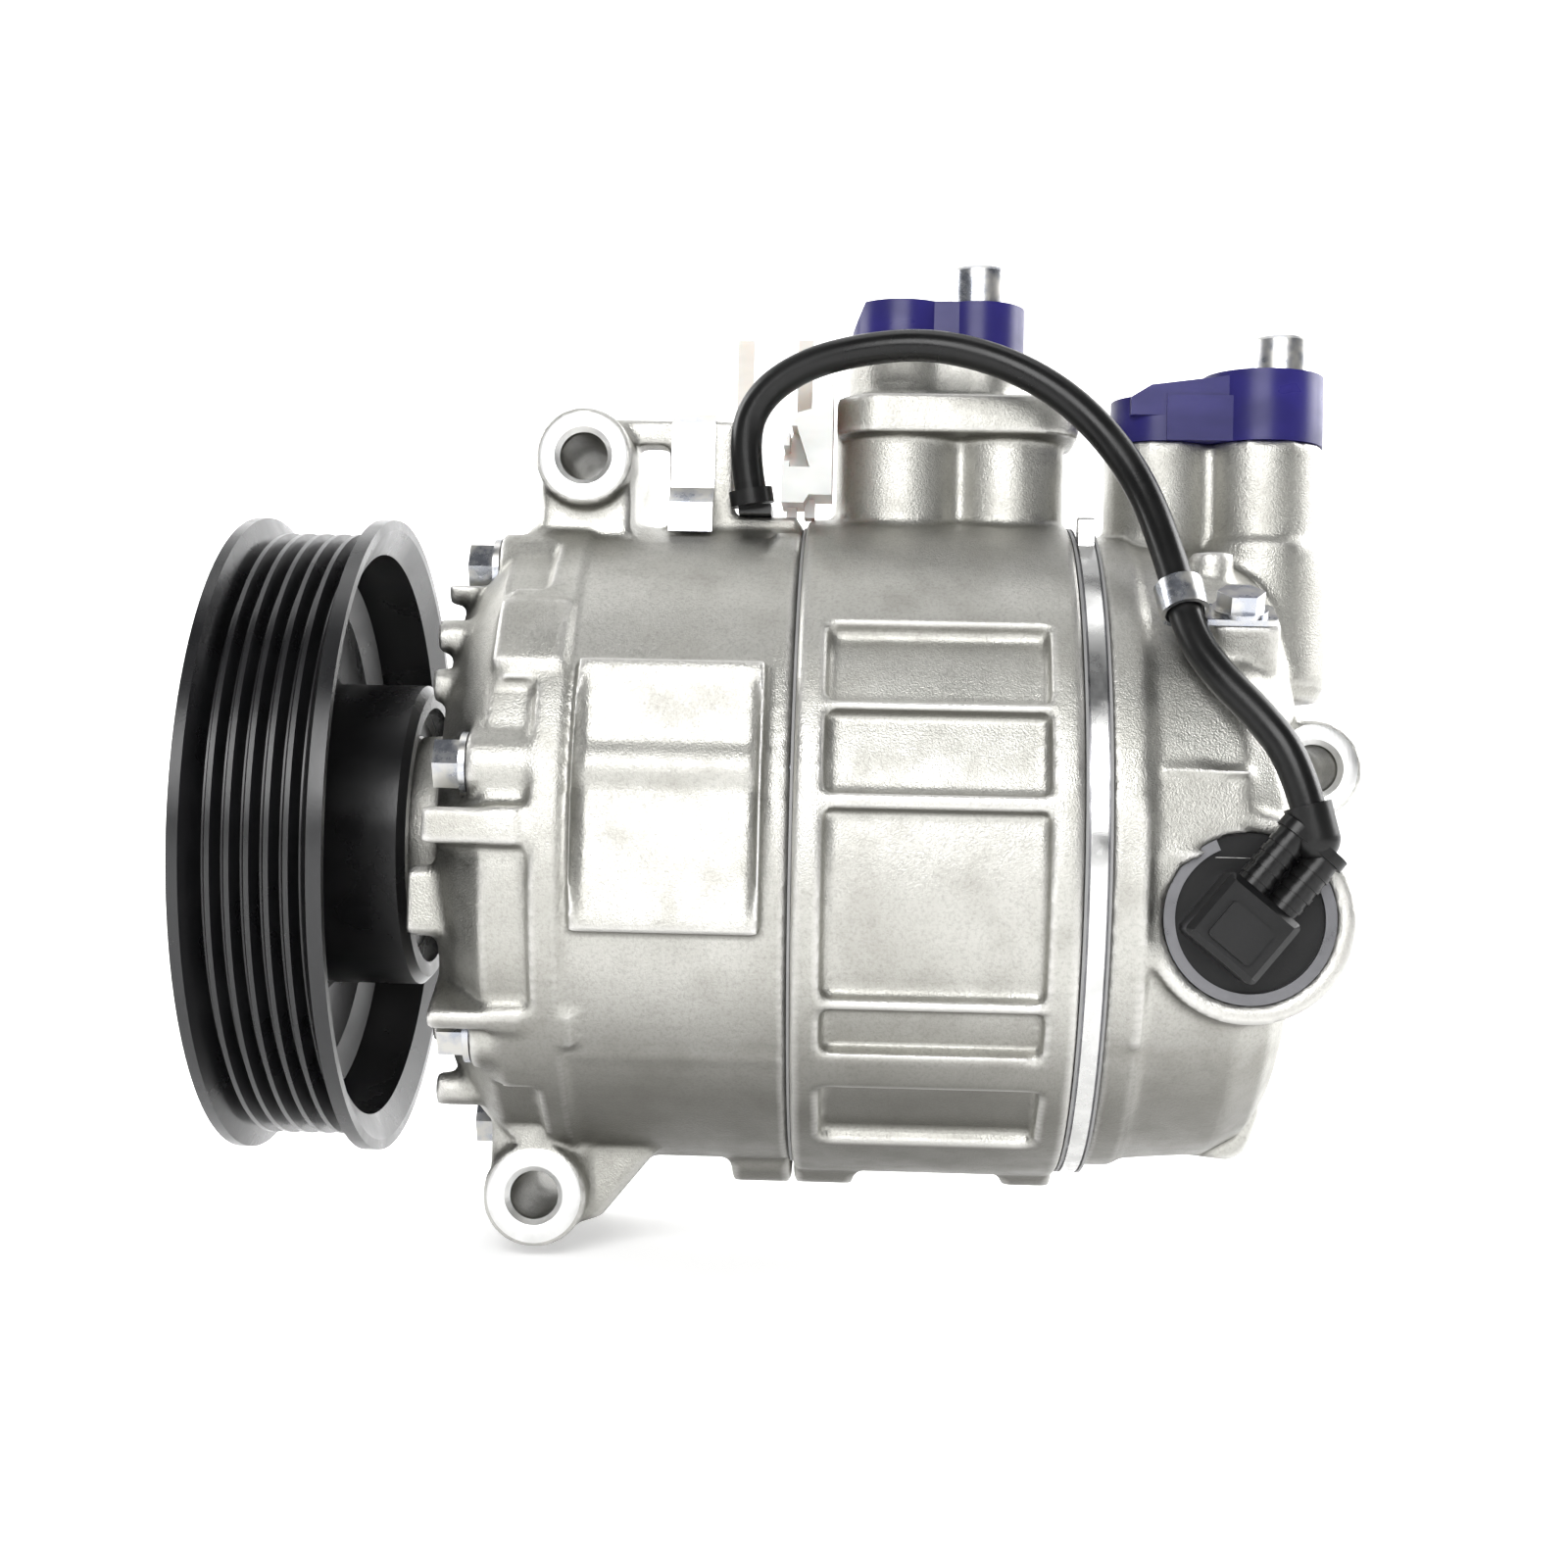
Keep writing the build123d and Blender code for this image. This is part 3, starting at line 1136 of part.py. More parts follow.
suction_cap_top = suction_top + 14.0
with BuildPart() as suction_cap:
    port_cap(suction_top, 9.0, suction_port_x, suction_lobe_r - 1, screw_lobe_x, screw_lobe_r - 0.4, tower_y + 1)
    post(suction_top, suction_cap_top - suction_top, screw_lobe_r, screw_lobe_x, tower_y)
    with BuildSketch(Plane.XZ.offset(-tower_y - 9)):
        with BuildLine():
            Polyline(
                (suction_port_x - 7, suction_top + 8.5),
                (suction_port_x - 3, suction_top + 11.0),
                (screw_lobe_x - 8, suction_cap_top - 1),
                (screw_lobe_x, suction_cap_top - 1),
                (screw_lobe_x, suction_top + 5),
                (suction_port_x - 7, suction_top + 5),
                close=True,
            )
        make_face()
    extrude(amount=18)
    post(suction_top - plug_depth, plug_depth, suction_port_r - plug_gap, suction_port_x, tower_y + 2)
    post(suction_top - plug_depth, plug_depth, suction_port_r - 2, suction_port_x, tower_y + 2,
         mode=Mode.SUBTRACT)
    post(suction_top, suction_cap_top, port_screw_r + 0.5, suction_screw_x, tower_y, mode=Mode.SUBTRACT)
suction_cap.part.label = "suction_cap"
export_step(suction_cap.part, "parts/suction_cap.step")

# cap screws, M8 with a cylindrical head and a hexagon socket
port_screws = (
    ("discharge_cap_screw", discharge_screw_x, discharge_top, discharge_cap_top),
    ("suction_cap_screw", suction_screw_x, suction_top, suction_cap_top),
)
for name, x, tower_top, seat in port_screws:
    with BuildPart() as cap_screw:
        post(tower_top - port_screw_reach, seat - tower_top + port_screw_reach, port_screw_r, x, tower_y)
        post(seat, port_screw_head, port_screw_head_r, x, tower_y)
        chamfer(cap_screw.edges().group_by(Axis.Z)[-1], 0.7)
        with BuildSketch(Plane.XY.offset(seat + port_screw_head)):
            with Locations((x, tower_y)):
                RegularPolygon(3.4, 6)
        extrude(amount=-4.5, mode=Mode.SUBTRACT)
    cap_screw.part.label = name
    export_step(cap_screw.part, f"parts/{name}.step")

# ---------------------------------------------------------------- lead and its clip
# Route of the control lead, from the harness connector up over the discharge cap,
# down to the clip on the rear housing and on to the valve's plug.
lead_route = [
    (86.2, -20.0, 70.5),
    (84.7, -20.5, 79.3),
    (88.2, -21.5, 87.6),
    (96.7, -23.5, 93.2),
    (108.5, -26.5, 95.8),
    (121.0, -29.0, 96.3),
    (133.5, -31.0, 93.2),
    (144.5, -33.0, 87.4),
    (153.5, -35.5, 79.0),
    (160.8, -39.2, 67.8),
    (165.4, -45.8, 53.0),
    (168.2, -53.4, 38.6),
    (173.0, -57.6, 31.0),
    (179.4, -60.9, 24.2),
    (184.9, -63.6, 16.8),
    tuple(lead_end),
]
clip_run = 10                        # the clip holds the middle of this run
lead_share = 0.45


def bend_radii(points):
    """Radius of each corner: a share of its shorter run over the tangent of half its turn."""
    radii = []
    for before, corner, after in zip(points, points[1:], points[2:]):
        run_in = Vector(corner) - Vector(before)
        run_out = Vector(after) - Vector(corner)
        half_turn = radians(run_in.get_angle(run_out) / 2)
        radii.append(lead_share * min(run_in.length, run_out.length) / tan(half_turn))
    return radii


lead_radii = bend_radii(lead_route)
with BuildPart() as control_lead:
    with BuildLine() as lead_line:
        FilletPolyline(*lead_route, radius=lead_radii)
    with BuildSketch(Plane(origin=lead_line.line @ 0, z_dir=lead_line.line % 0)):
        Circle(lead_r)
    sweep(path=lead_line.wires()[0])
control_lead.part.label = "control_lead"
export_step(control_lead.part, "parts/control_lead.step")
lead_length = lead_line.wires()[0].length
print("lead end", lead_end, "lead radii", [round(radius, 1) for radius in lead_radii])
print("lead length", round(lead_length, 1), "volume", round(control_lead.part.volume, 1),
      "section times length", round(3.14159265 * lead_r**2 * lead_length, 1))

clip_width = 6.0
clip_sheet = 1.1
band_gap = 0.5                       # room for the curve of the lead inside the band
clip_from, clip_to = Vector(lead_route[clip_run]), Vector(lead_route[clip_run + 1])
band_plane = Plane(origin=(clip_from + clip_to) * 0.5, z_dir=clip_to - clip_from)
band_side = clip_plane.to_local_coords(band_plane.origin).X + lead_r
with BuildPart() as lead_clip:
    with BuildSketch(band_plane.offset(-clip_width / 2)):
        Circle(lead_r + 0.3 + clip_sheet)
    extrude(amount=clip_width)
    with BuildSketch(clip_plane):
        with Locations(((band_side + 6.5) / 2, 0)):
            RectangleRounded(6.5 - band_side, 9.0, 1.5)
        Circle(clip_screw_r + running_gap, mode=Mode.SUBTRACT)
    extrude(amount=clip_sheet)
    with BuildSketch(clip_plane):
        with Locations((band_side + 0.5, 0)):
            Rectangle(clip_sheet, clip_width)
    extrude(amount=4.0)
    with BuildSketch(band_plane.offset(-2 * clip_width)):
        Circle(lead_r + band_gap)
    extrude(amount=4 * clip_width, mode=Mode.SUBTRACT)
lead_clip.part.label = "lead_clip"
export_step(lead_clip.part, "parts/lead_clip.step")

with BuildPart() as clip_screw:
    with BuildSketch(clip_plane.offset(clip_sheet)):
        Circle(5.1)
    extrude(amount=0.9)
    with BuildSketch(clip_plane.offset(clip_sheet)):
        RegularPolygon(4.4, 6)
    extrude(amount=4.0)
    with BuildSketch(clip_plane.offset(clip_sheet)):
        Circle(clip_screw_r)
    extrude(amount=-10)
clip_screw.part.label = "clip_screw"
export_step(clip_screw.part, "parts/clip_screw.step")

# ------------------------------------------------- harness connector above the shell
spring_sheet = 1.2
with BuildPart() as connector_spring:
    with BuildSketch(on_axis(post_front + 0.4)):
        with BuildLine():
            Polyline(
                (post_far - 2, post_top),
                (post_near, post_top),
                (post_near, 69.0),
                (post_near - 3.8, 65.6),
                (post_near - 4.6, 60.4),
                (post_near - 5.8, 60.4),
                (post_near - 5.0, 66.2),
                (post_near - spring_sheet, 69.6),
                (post_near - spring_sheet, post_top - 1.0),
                (post_near + 1.0, post_top + spring_sheet),
                (post_far - 2, post_top + spring_sheet),
                close=True,
            )
        make_face()
    extrude(amount=8.6)
connector_spring.part.label = "connector_spring"
export_step(connector_spring.part, "parts/connector_spring.step")

shell_front, shell_back = 92.6, 102.4
shell_low, shell_high = 66.4, 84.0
shell_near, shell_far = -22.0, -9.5
with BuildPart() as harness_connector:
    with BuildSketch(Plane.XZ.offset(-shell_far)):
        with BuildLine():
            Polyline(
                (shell_front, shell_low),
                (shell_back - 5.5, shell_low),
                (shell_back - 4.5, shell_low + 1.6),
                (shell_back, shell_low + 1.6),
                (shell_back, shell_high + 6),
                (shell_back - 3.5, shell_high + 1),
                (shell_back - 7, shell_high),
                (shell_front, shell_high - 7),
                close=True,
            )
        make_face()
    extrude(amount=shell_far - shell_near)
    with BuildSketch(Plane.XZ.offset(-shell_near)):
        with BuildLine():
            Polyline((94.0, 73.4), (98.0, 73.4), (95.4, 81.4), (94.0, 81.4), close=True)
        make_face()
        with Locations((shell_front + 1.1, 76.0)):
            Rectangle(2.2, 3.0)
    extrude(amount=-9, mode=Mode.SUBTRACT)
    # foot that rests on the bar of the front housing
    with BuildSketch(Plane.XY.offset(post_foot_top)):
        with Locations((98.0, -12.5)):
            Rectangle(2.0, 5)
        with Locations((94.4, -12.5)):
            Rectangle(2.0, 5)
    extrude(amount=shell_low + 2 - post_foot_top)
harness_connector.part.label = "harness_connector"
export_step(harness_connector.part, "parts/harness_connector.step")

# rubber boot where the lead enters the connector from below
boot_r = 4.3
lead_out = lead_line.line % 0
boot_plane = Plane(origin=lead_route[0], z_dir=lead_out)
with BuildPart() as lead_boot:
    with BuildSketch(boot_plane):
        Circle(lead_r)
    extrude(amount=-1.5)
    with BuildSketch(boot_plane.offset(-1.5)):
        Circle(boot_r)
    extrude(amount=-3.0)
    with BuildSketch(Plane.XZ.offset(-shell_far - 3)):
        with Locations((lead_route[0][0] + 1.2, post_foot_top + 1.0)):
            Rectangle(6.4, 1.9)
    extrude(amount=shell_far + 3 - lead_route[0][1])
lead_boot.part.label = "lead_boot"
export_step(lead_boot.part, "parts/lead_boot.step")

strip_thick = 1.2
with BuildPart() as latch_strips:
    for x, width, y, low, high in (
        (post_back + 1.7, 3.2, post_far - 4, 70.0, 99.8),
        (96.4, 3.0, shell_far + strip_thick, 75.0, 101.0),
    ):
        with BuildSketch(Plane.XZ.offset(-y)):
            with Locations((x, (low + high) / 2)):
                Rectangle(width, high - low)
        extrude(amount=strip_thick)
latch_strips.part.label = "latch_strips"
export_step(latch_strips.part, "parts/latch_strips.step")
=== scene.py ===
import json
import math

import bmesh
import bpy
from mathutils import Matrix, Vector


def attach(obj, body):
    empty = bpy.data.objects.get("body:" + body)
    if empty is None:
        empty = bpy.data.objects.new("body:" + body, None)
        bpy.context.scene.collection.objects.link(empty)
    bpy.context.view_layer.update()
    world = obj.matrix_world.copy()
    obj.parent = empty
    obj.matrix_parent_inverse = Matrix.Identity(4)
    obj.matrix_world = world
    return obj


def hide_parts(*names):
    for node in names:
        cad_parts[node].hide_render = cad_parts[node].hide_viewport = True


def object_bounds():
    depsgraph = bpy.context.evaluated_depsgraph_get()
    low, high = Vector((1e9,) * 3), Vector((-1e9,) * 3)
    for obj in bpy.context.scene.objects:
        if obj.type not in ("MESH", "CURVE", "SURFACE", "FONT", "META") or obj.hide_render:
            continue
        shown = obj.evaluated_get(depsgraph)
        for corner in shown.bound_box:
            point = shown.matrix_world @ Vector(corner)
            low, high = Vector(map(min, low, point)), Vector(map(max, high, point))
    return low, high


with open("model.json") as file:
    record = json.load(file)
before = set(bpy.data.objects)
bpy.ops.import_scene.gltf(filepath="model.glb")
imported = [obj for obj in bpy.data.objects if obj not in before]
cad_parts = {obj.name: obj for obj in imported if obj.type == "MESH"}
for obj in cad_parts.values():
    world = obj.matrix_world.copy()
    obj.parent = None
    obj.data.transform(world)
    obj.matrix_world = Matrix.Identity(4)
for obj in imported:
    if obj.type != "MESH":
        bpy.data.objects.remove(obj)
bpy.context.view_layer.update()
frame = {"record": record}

MM = 0.001
MOUNTS = {mount["name"]: mount for mount in frame["record"]["mounts"]}

# ------------------------------------------------------------------- materials
EDGE_START, EDGE_FULL = 0.51, 0.58       # pointiness where wear on an edge starts and where it is full
SHADE_FULL, SHADE_NONE = -0.75, -0.35    # height of the normal where the painted shade is full and where it ends
# darkest share of the painted shade, on faces that look straight down
SHADE = 0.8


class Nodes:
    """Small helper that adds shader nodes to one material and links them."""

    def __init__(self, name):
        self.material = bpy.data.materials.new(name)
        self.material.use_nodes = True
        self.tree = self.material.node_tree
        self.shader = self.tree.nodes["Principled BSDF"]
        self.coords = self.tree.nodes.new("ShaderNodeTexCoord").outputs["Object"]

    def add(self, kind, **inputs):
        node = self.tree.nodes.new(kind)
        for key, value in inputs.items():
            self.put(node.inputs[key.replace("_", " ")], value)
        return node

    def put(self, socket, value):
        """Links a socket to another one, or gives it a fixed value."""
        if isinstance(value, bpy.types.NodeSocket):
            self.tree.links.new(value, socket)
        else:
            socket.default_value = value

    def noise(self, scale, detail=4.0, rough=0.55, stretch=None):
        """Noise value in object space; stretch squeezes it along the axes."""
        place = self.coords
        if stretch:
            mapping = self.add("ShaderNodeMapping", Vector=place)
            mapping.inputs["Scale"].default_value = stretch
            place = mapping.outputs["Vector"]
        node = self.add("ShaderNodeTexNoise", Vector=place, Scale=scale, Detail=detail, Roughness=rough)
        return node.outputs["Fac"]

    def ramp(self, value, low, high, start=0.35, end=0.65):
        """Maps a value, from low at start to high at end."""
        node = self.add("ShaderNodeMapRange", Value=value)
        node.inputs["From Min"].default_value = start
        node.inputs["From Max"].default_value = end
        node.inputs["To Min"].default_value = low
        node.inputs["To Max"].default_value = high
        return node.outputs["Result"]

    def blend(self, factor, first, second):
        """Mixes two colours by a factor."""
        node = self.tree.nodes.new("ShaderNodeMix")
        node.data_type = "RGBA"
        self.put(node.inputs["Factor"], factor)
        # a Mix node holds its colours in the sockets 6 and 7 and gives the mixed one in 2
        for socket, value in ((node.inputs[6], first), (node.inputs[7], second)):
            self.put(socket, (*value, 1.0) if isinstance(value, tuple) and len(value) == 3 else value)
        return node.outputs[2]

    def bump(self, height, strength, distance, normal=None):
        node = self.add("ShaderNodeBump", Height=height, Strength=strength, Distance=distance)
        if normal is not None:
            self.put(node.inputs["Normal"], normal)
        return node.outputs["Normal"]

    def edges(self):
        """1 on worn outer edges, 0 on flats."""
        pointiness = self.add("ShaderNodeNewGeometry").outputs["Pointiness"]
        return self.ramp(pointiness, 0.0, 1.0, EDGE_START, EDGE_FULL)

    def painted_underside_shade(self):
        """Share of painted shade on faces that look down: a darker colour stands in for the shade there.
        """
        normal = self.add("ShaderNodeTexCoord").outputs["Normal"]
        split = self.add("ShaderNodeSeparateXYZ", Vector=normal)
        return self.ramp(split.outputs["Z"], SHADE, 0.0, SHADE_FULL, SHADE_NONE)

    def finish(self, color, metallic, roughness, normal=None, **fixed):
        """Feeds the shader and returns the material; fixed holds its other uniform values."""
        self.put(self.shader.inputs["Base Color"], (*color, 1.0) if isinstance(color, tuple) else color)
        self.shader.inputs["Metallic"].default_value = metallic
        self.put(self.shader.inputs["Roughness"], roughness)
        if normal is not None:
            self.put(self.shader.inputs["Normal"], normal)
        for key, value in fixed.items():
            self.shader.inputs[key.replace("_", " ")].default_value = value
        return self.material


def cast_aluminium():
    """Bead-blasted die casting: warm grey, fine grain, slightly brighter worn edges, painted shade on the
    underside.
    """
    nodes = Nodes("cast_aluminium")
    cloud = nodes.noise(28.0, 3.0)
    stain = nodes.noise(95.0, 5.0)
    speck = nodes.noise(1500.0, 2.0, 0.7)
    grain = nodes.noise(2600.0, 2.0, 0.7)
    tone = nodes.blend(nodes.ramp(cloud, 0.0, 1.0), (0.40, 0.395, 0.365), (0.49, 0.485, 0.455))
    tone = nodes.blend(nodes.ramp(stain, 0.0, 0.55, 0.5, 0.8), tone, (0.31, 0.30, 0.27))
    tone = nodes.blend(nodes.ramp(speck, 0.0, 0.35, 0.45, 0.7), tone, (0.22, 0.215, 0.195))
    # painted shade: faces that look down are darkened in the colour
    tone = nodes.blend(nodes.painted_underside_shade(), tone, (0.10, 0.097, 0.086))
    tone = nodes.blend(nodes.edges(), tone, (0.78, 0.77, 0.75))
    bump = nodes.bump(grain, 0.75, 0.00016)
    bump = nodes.bump(stain, 0.22, 0.0005, bump)
    return nodes.finish(tone, 1.0, nodes.ramp(stain, 0.36, 0.50), bump)


def machined(name, tone, low, high, axis):
    """Turned or faced metal: fine concentric lines about an axis and small scuffs."""
    nodes = Nodes(name)
    rings = nodes.add("ShaderNodeTexWave", Vector=nodes.coords, Scale=420.0, Distortion=0.6, Detail=2.0)
    rings.wave_type = "RINGS"
    rings.rings_direction = axis
    scuff = nodes.noise(180.0, 6.0)
    dark = tuple(0.72 * value for value in tone)
    color = nodes.blend(nodes.ramp(scuff, 0.0, 0.6), tone, dark)
    bump = nodes.bump(rings.outputs["Fac"], 0.12, 0.00005)
    return nodes.finish(color, 1.0, nodes.ramp(scuff, low, high), bump)


def satin_black(name, tone, low, high, grain_scale, strength, coat=0.0, gloss=0.5):
    """Dark coating, rubber or moulded plastic with grain and uneven gloss."""
    nodes = Nodes(name)
    cloud = nodes.noise(60.0, 4.0)
    grain = nodes.noise(grain_scale, 3.0, 0.6)
    dusty = tuple(value * 2.0 + 0.002 for value in tone)
    color = nodes.blend(nodes.ramp(cloud, 0.0, 0.6), tone, dusty)
    color = nodes.blend(nodes.ramp(nodes.edges(), 0.0, 0.5, 0.0, 1.0), color, dusty)
    bump = nodes.bump(grain, strength, 0.00015)
    return nodes.finish(color, 0.0, nodes.ramp(cloud, low, high), bump, Coat_Weight=coat,
                        Coat_Roughness=0.25, Specular_IOR_Level=gloss)


def moulded(name, tone, shade, low, high, **fixed):
    """Smooth coloured plastic with a faint flow texture."""
    nodes = Nodes(name)
    cloud = nodes.noise(45.0, 3.0, 0.5, (1.0, 1.0, 2.5))
    grain = nodes.noise(900.0, 2.0)
    color = nodes.blend(nodes.ramp(cloud, 0.0, 1.0), tone, shade)
    return nodes.finish(color, 0.0, nodes.ramp(cloud, low, high), nodes.bump(grain, 0.12, 0.0001), **fixed)


def zinc_plate():
    """Clear zinc plating: cool grey with faint blue and yellow patches."""
    nodes = Nodes("zinc_plate")
    patch = nodes.noise(210.0, 5.0, 0.6)
    spangle = nodes.noise(900.0, 2.0)
    color = nodes.blend(nodes.ramp(patch, 0.0, 1.0, 0.4, 0.6), (0.42, 0.44, 0.49), (0.60, 0.59, 0.56))
    bump = nodes.bump(spangle, 0.15, 0.0001)
    return nodes.finish(color, 1.0, nodes.ramp(patch, 0.22, 0.40), bump)


def floor_paper():
    """Matt white paper that glows a little, so that the ground is as white as in the photograph."""
    nodes = Nodes("floor_paper")
    tone = nodes.blend(nodes.noise(3.0), (0.90, 0.90, 0.90), (0.92, 0.92, 0.92))
    return nodes.finish(tone, 0.0, 0.9, Emission_Color=(1.0, 1.0, 1.0, 1.0), Emission_Strength=0.45)


MATERIALS = {
    "cast_aluminium": cast_aluminium(),
    "pulley_black": satin_black("pulley_black", (0.004, 0.004, 0.0045), 0.24, 0.38, 1500.0, 0.10, 0.15),
    "machined_steel": machined("machined_steel", (0.66, 0.66, 0.65), 0.18, 0.36, "X"),
    "spring_steel": machined("spring_steel", (0.20, 0.20, 0.21), 0.25, 0.45, "X"),
    "zinc_steel": zinc_plate(),
    "gasket_grey": satin_black("gasket_grey", (0.13, 0.13, 0.13), 0.45, 0.65, 900.0, 0.3),
    "rubber_black": satin_black("rubber_black", (0.0035, 0.0035, 0.0035), 0.26, 0.38, 1100.0, 0.14,
                                gloss=0.28),
    "plastic_black": satin_black("plastic_black", (0.004, 0.004, 0.0042), 0.30, 0.42, 1700.0, 0.16,
                                 gloss=0.30),
    "plastic_white": moulded("plastic_white", (0.62, 0.62, 0.60), (0.48, 0.48, 0.46), 0.35, 0.5,
                             Subsurface_Weight=0.15),
    "cap_blue": moulded("cap_blue", (0.024, 0.020, 0.135), (0.014, 0.012, 0.085), 0.26, 0.40,
                        Specular_IOR_Level=0.25),
    "piston_aluminium": machined("piston_aluminium", (0.72, 0.71, 0.69), 0.28, 0.42, "X"),
    "valve_brass": machined("valve_brass", (0.62, 0.49, 0.25), 0.25, 0.4, "Y"),
}
MACHINED_ALUMINIUM = machined("machined_aluminium", (0.90, 0.90, 0.89), 0.34, 0.48, "Y")

slot_of = {entry["node"]: entry["material_slot"] for entry in frame["record"]["subparts"]}
for node, slot in slot_of.items():
    obj = bpy.data.objects[node]
    for material_slot in obj.material_slots:
        material_slot.material = MATERIALS[slot]
    if not obj.material_slots:
        obj.data.materials.append(MATERIALS[slot])


# ---------------------------------------------------------------- piece helpers
LATHE_STEPS = 128
SHARP_ANGLE = math.radians(28)


def new_piece(name, mesh, material, body):
    """Adds a mesh object in the shared frame and lets it ride on a body."""
    piece = bpy.data.objects.new(name, mesh)
    bpy.context.scene.collection.objects.link(piece)
    mesh.materials.clear()
    mesh.materials.append(material)
    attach(piece, body)
    return piece


def apply_modifiers(piece):
    """Replaces the piece's mesh with the result of its modifiers."""
    graph = bpy.context.evaluated_depsgraph_get()
    mesh = bpy.data.meshes.new_from_object(piece.evaluated_get(graph))
    piece.modifiers.clear()
    old = piece.data
    piece.data = mesh
    bpy.data.meshes.remove(old)


def shade_smooth(mesh):
    mesh.polygons.foreach_set("use_smooth", [True] * len(mesh.polygons))
    mesh.update()


def lathe(name, outline, centre, axis, material, body):
    """Turned piece: a closed outline of (radius, along) points in millimetres, swept about an axis."""
    turn = Vector((0, 0, 1)).rotation_difference(Vector(axis)).to_matrix()
    shape = bmesh.new()
    rings = []
    for radius, along in outline:
        ring = []
        for step in range(LATHE_STEPS):
            angle = 2 * math.pi * step / LATHE_STEPS
            point = Vector((radius * math.cos(angle), radius * math.sin(angle), along))
            ring.append(shape.verts.new(turn @ (point * MM) + Vector(centre) * MM))
        rings.append(ring)
    for first, second in zip(rings, rings[1:] + rings[:1]):
        for step in range(LATHE_STEPS):
            after = (step + 1) % LATHE_STEPS
            face = shape.faces.new((first[step], first[after], second[after], second[step]))
            face.smooth = True
    bmesh.ops.recalc_face_normals(shape, faces=shape.faces)
    mesh = bpy.data.meshes.new(name)
    shape.to_mesh(mesh)
    shape.free()
    mesh.set_sharp_from_angle(angle=SHARP_ANGLE)
    piece = new_piece(name, mesh, material, body)


def curve_piece(name, points, radius, material, body):
    """Round NURBS cord through control points in millimetres."""
    data = bpy.data.curves.new(name, "CURVE")
    data.dimensions = "3D"
    data.bevel_depth = radius * MM
    data.bevel_resolution = 10
    data.resolution_u = 16
    data.use_fill_caps = True
    spline = data.splines.new("NURBS")
    spline.points.add(len(points) - 1)
    for control, place in zip(spline.points, points):
        control.co = (*(Vector(place) * MM), 1.0)
    spline.order_u = 3
    spline.use_endpoint_u = True
    piece = bpy.data.objects.new(name, data)
    bpy.context.scene.collection.objects.link(piece)
    data.materials.append(material)
    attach(piece, body)
    return piece


# --------------------------------------------------------------------- castings
CASTING_VOXEL = 0.0009
SMOOTHING_ROUNDS = 5


def cast_copy(node):
    """Copy of a casting with all its edges rounded the way a die casting's are."""
    mesh = bpy.data.objects[node].data.copy()
    piece = new_piece(node + "_cast", mesh, MATERIALS["cast_aluminium"], "housing")
    remesh = piece.modifiers.new("voxels", "REMESH")
    remesh.mode = "VOXEL"
    remesh.voxel_size = CASTING_VOXEL
    smooth = piece.modifiers.new("smooth", "SMOOTH")
    smooth.factor = 0.5
    smooth.iterations = SMOOTHING_ROUNDS
    apply_modifiers(piece)
    piece.data.materials.clear()
    piece.data.materials.append(MATERIALS["cast_aluminium"])
    shade_smooth(piece.data)
    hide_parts(node)


for casting in ("front_housing", "cylinder_block", "rear_housing"):
    cast_copy(casting)

# -------------------------------------------------------------------- lug rings
RING_PROUD = 0.2       # millimetres that a machined ring stands out of its lug's face
RING_DEPTH = 0.9       # millimetres that it reaches into the lug
CAST_MARGIN = 0.9      # cast edge left around the ring
RIM_SLOPE = 0.6        # width of the slope around the ring
INNER_RADIUS = 4.6     # just outside the hole, which is 9 mm wide


def lug_ring(name, centre, out, lug_radius):
    """Machined ring around a lug's hole; out is -1 on the near face and 1 on the far one."""
    rim = lug_radius - CAST_MARGIN
    outline = [
        (INNER_RADIUS, -RING_DEPTH), (INNER_RADIUS + 1.0, 0.12), (INNER_RADIUS + 1.4, RING_PROUD),
        (rim - RIM_SLOPE, RING_PROUD), (rim, -0.05), (rim, -RING_DEPTH),
    ]
    lathe(name, [(radius, along * out) for radius, along in outline], centre, (0, 1, 0),
          MACHINED_ALUMINIUM, "housing")


# label, mount that gives the lug's place, radius, and where its two faces lie across the part
LUGS = (
    ("top", "top_front_lug", 9.4, -30.0, 30.0),
    ("bottom", "bottom_front_lug", 9.9, -30.0, 30.0),
    ("rear", "rear_lug", 9.2, -36.0, -2.0),
)
for label, mount, lug_radius, near, far in LUGS:
    x, _, z = (value / MM for value in MOUNTS[mount]["pos_m"])
    lug_ring(label + "_lug_near_ring", (x, near, z), -1, lug_radius)
    lug_ring(label + "_lug_far_ring", (x, far, z), 1, lug_radius)

# ------------------------------------------------------------------ control lead
LEAD_RADIUS = 3.1
LEAD_ROUTE = (
    (86.2, -20.0, 70.5), (84.7, -20.5, 79.3), (88.2, -21.5, 87.6), (96.7, -23.5, 93.2),
    (108.5, -26.5, 95.8), (121.0, -29.0, 96.3), (133.5, -31.0, 93.2), (144.5, -33.0, 87.4),
    (153.5, -35.5, 79.0), (160.8, -39.2, 67.8), (165.4, -45.8, 53.0), (168.2, -53.4, 38.6),
    (173.0, -57.6, 31.0), (179.4, -60.9, 24.2), (184.9, -63.6, 16.8), (187.266, -64.338, 8.572),
)
lead = curve_piece("control_lead_skin", LEAD_ROUTE, LEAD_RADIUS, MATERIALS["rubber_black"], "housing")
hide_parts("control_lead")

# ------------------------------------------------------------------------ floor
low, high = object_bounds()
middle = (Vector(low) + Vector(high)) / 2
FLOOR_GAP = 0.002                          # under the lowest point of the part
PAPER_LEFT, PAPER_RIGHT = -3.0, 3.2
PAPER_FRONT, PAPER_BEND, PAPER_TOP = -2.5, 0.55, 3.0
BEND_RADIUS = 0.5
BEND_STEPS = 16


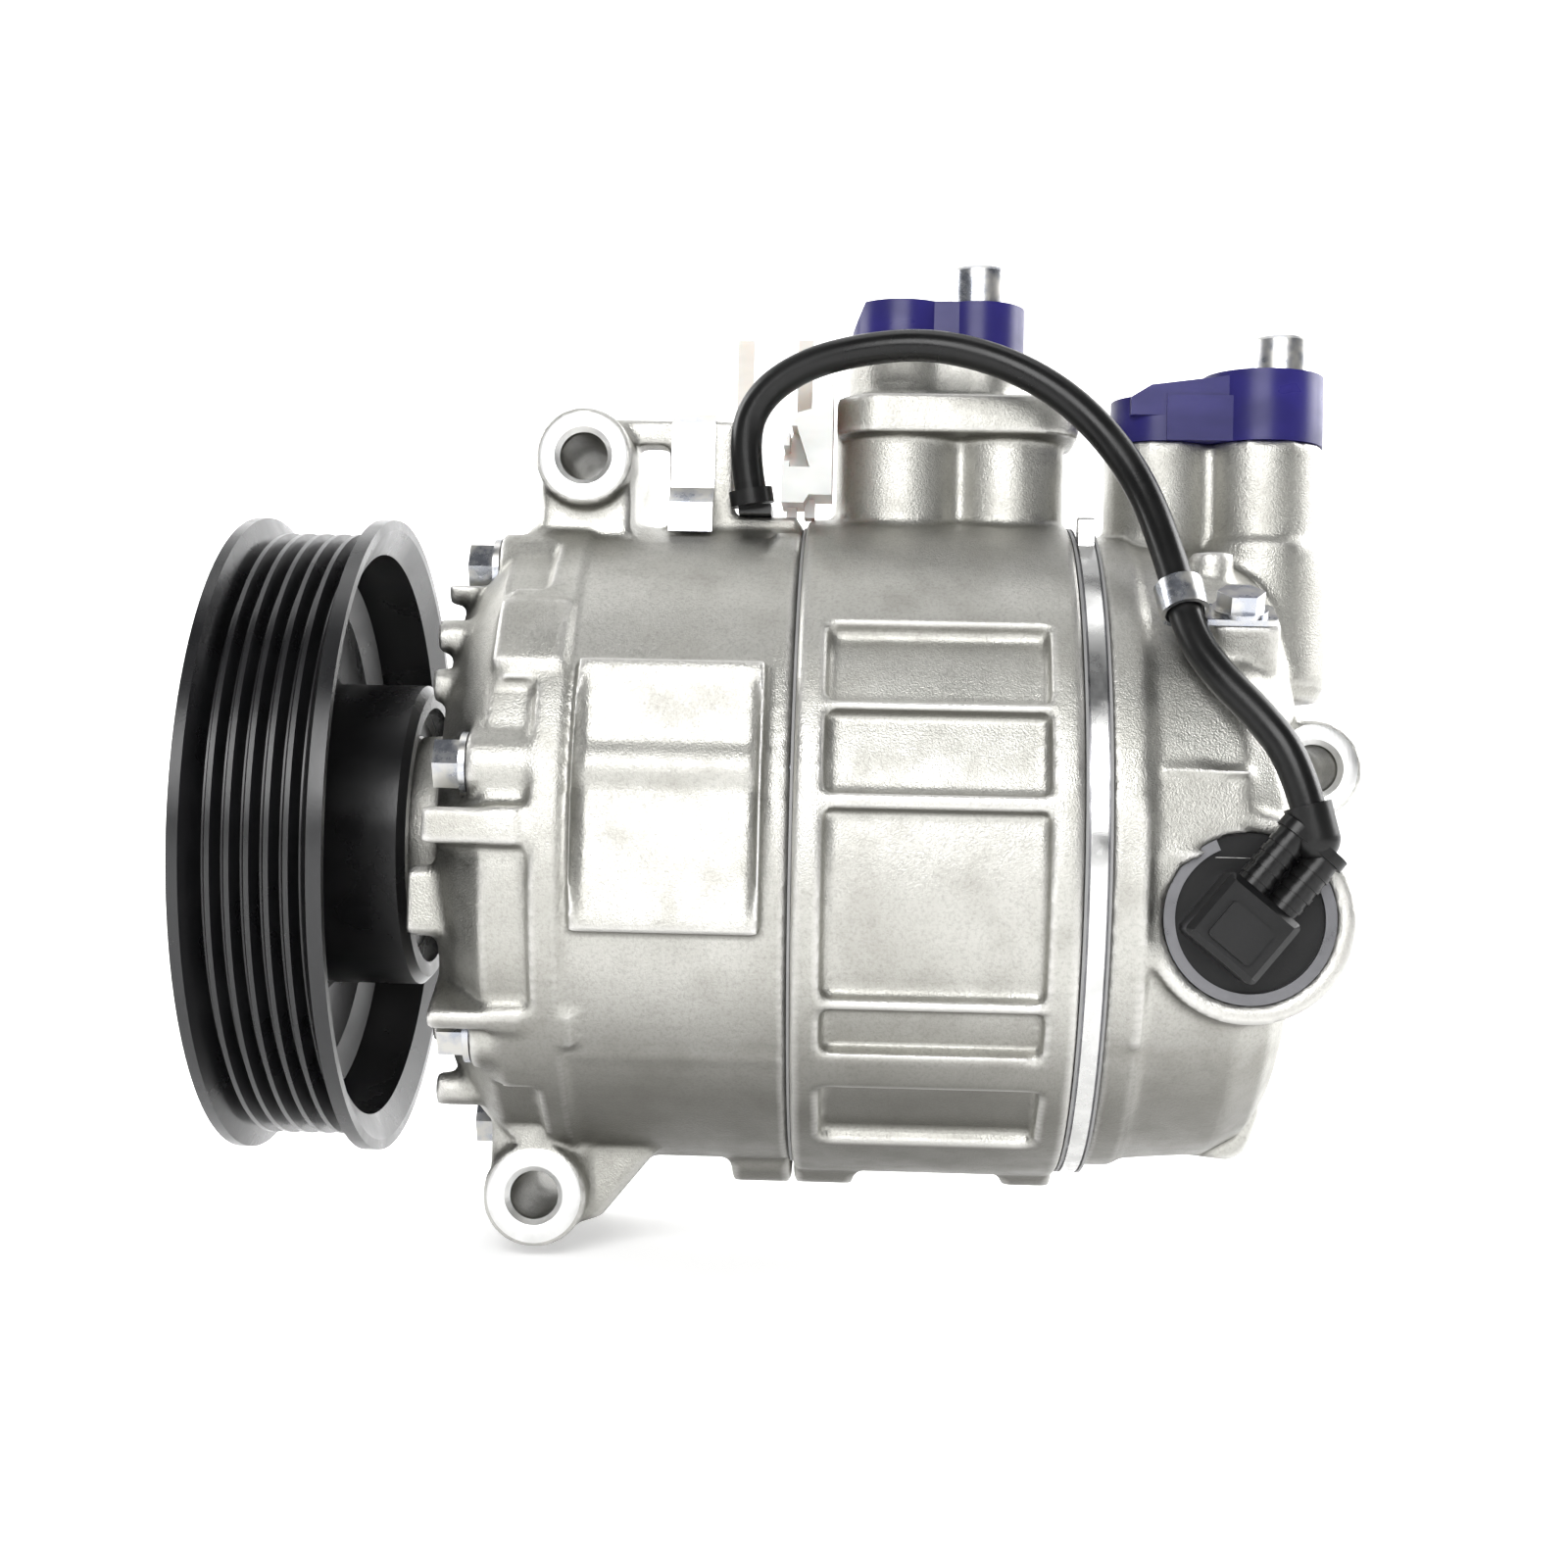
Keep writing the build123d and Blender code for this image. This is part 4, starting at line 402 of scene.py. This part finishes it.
def paper_sweep():
    """One sheet of paper: level under the part, then curved up behind it."""
    turns = [math.pi / 2 * step / BEND_STEPS for step in range(BEND_STEPS + 1)]
    outline = [(PAPER_FRONT, 0.0)]
    for turn in turns:
        outline.append((PAPER_BEND + BEND_RADIUS * math.sin(turn), BEND_RADIUS * (1 - math.cos(turn))))
    outline.append((PAPER_BEND + BEND_RADIUS, PAPER_TOP))
    paper = bmesh.new()
    rows = [[paper.verts.new((side, y, z)) for side in (PAPER_LEFT, PAPER_RIGHT)] for y, z in outline]
    for first, second in zip(rows, rows[1:]):
        face = paper.faces.new((first[0], first[1], second[1], second[0]))
        face.smooth = True
    mesh = bpy.data.meshes.new("floor")
    paper.to_mesh(mesh)
    paper.free()
    mesh.materials.append(floor_paper())
    return mesh


floor = bpy.data.objects.new("floor", paper_sweep())
bpy.context.scene.collection.objects.link(floor)
floor.location.z = low[2] - FLOOR_GAP

# ------------------------------------------------------------------------ light
world = bpy.data.worlds.new("studio")
bpy.context.scene.world = world
world.use_nodes = True
world.node_tree.nodes["Background"].inputs["Color"].default_value = (0.95, 0.97, 1.0, 1.0)
world.node_tree.nodes["Background"].inputs["Strength"].default_value = 0.13


def softbox(name, place, target, size, power):
    """Large soft area light that points at a target."""
    data = bpy.data.lights.new(name, "AREA")
    data.shape = "RECTANGLE"
    data.size, data.size_y = size
    data.energy = power
    light = bpy.data.objects.new(name, data)
    bpy.context.scene.collection.objects.link(light)
    light.location = place
    light.rotation_euler = (Vector(target) - Vector(place)).to_track_quat("-Z", "Y").to_euler()


softbox("key", (0.00, -0.90, 0.40), middle, (0.60, 0.50), 8.6)
softbox("top", (0.10, 0.05, 1.00), middle, (0.8, 0.4), 2.4)
softbox("rim", (0.85, 0.35, 0.50), middle, (0.6, 0.6), 4.0)
softbox("back_left", (-1.0, 0.30, 0.60), (0.0, 1.0, 0.3), (0.8, 0.8), 14.0)
softbox("back_right", (1.2, 0.30, 0.60), (0.2, 1.0, 0.3), (0.8, 0.8), 14.0)

# ----------------------------------------------------------------------- camera
CAMERA_AT = Vector((0.111, -0.460, 0.000))
LOOK_AT = Vector((0.0936, 0.0, 0.012))
LENS = 51.8
SENSOR_WIDTH = 36.0
ROLL = math.radians(1.3)

# the plain transform keeps the paper white and the blacks deep, as in the photograph
bpy.context.scene.view_settings.view_transform = "Standard"
camera_data = bpy.data.cameras.new("camera")
camera_data.lens = LENS
camera_data.sensor_width = SENSOR_WIDTH
camera = bpy.data.objects.new("camera", camera_data)
bpy.context.scene.collection.objects.link(camera)
camera.location = CAMERA_AT
aim = (LOOK_AT - CAMERA_AT).to_track_quat("-Z", "Y").to_matrix()
camera.rotation_euler = (aim @ Matrix.Rotation(ROLL, 3, "Z")).to_euler()
bpy.context.scene.camera = camera
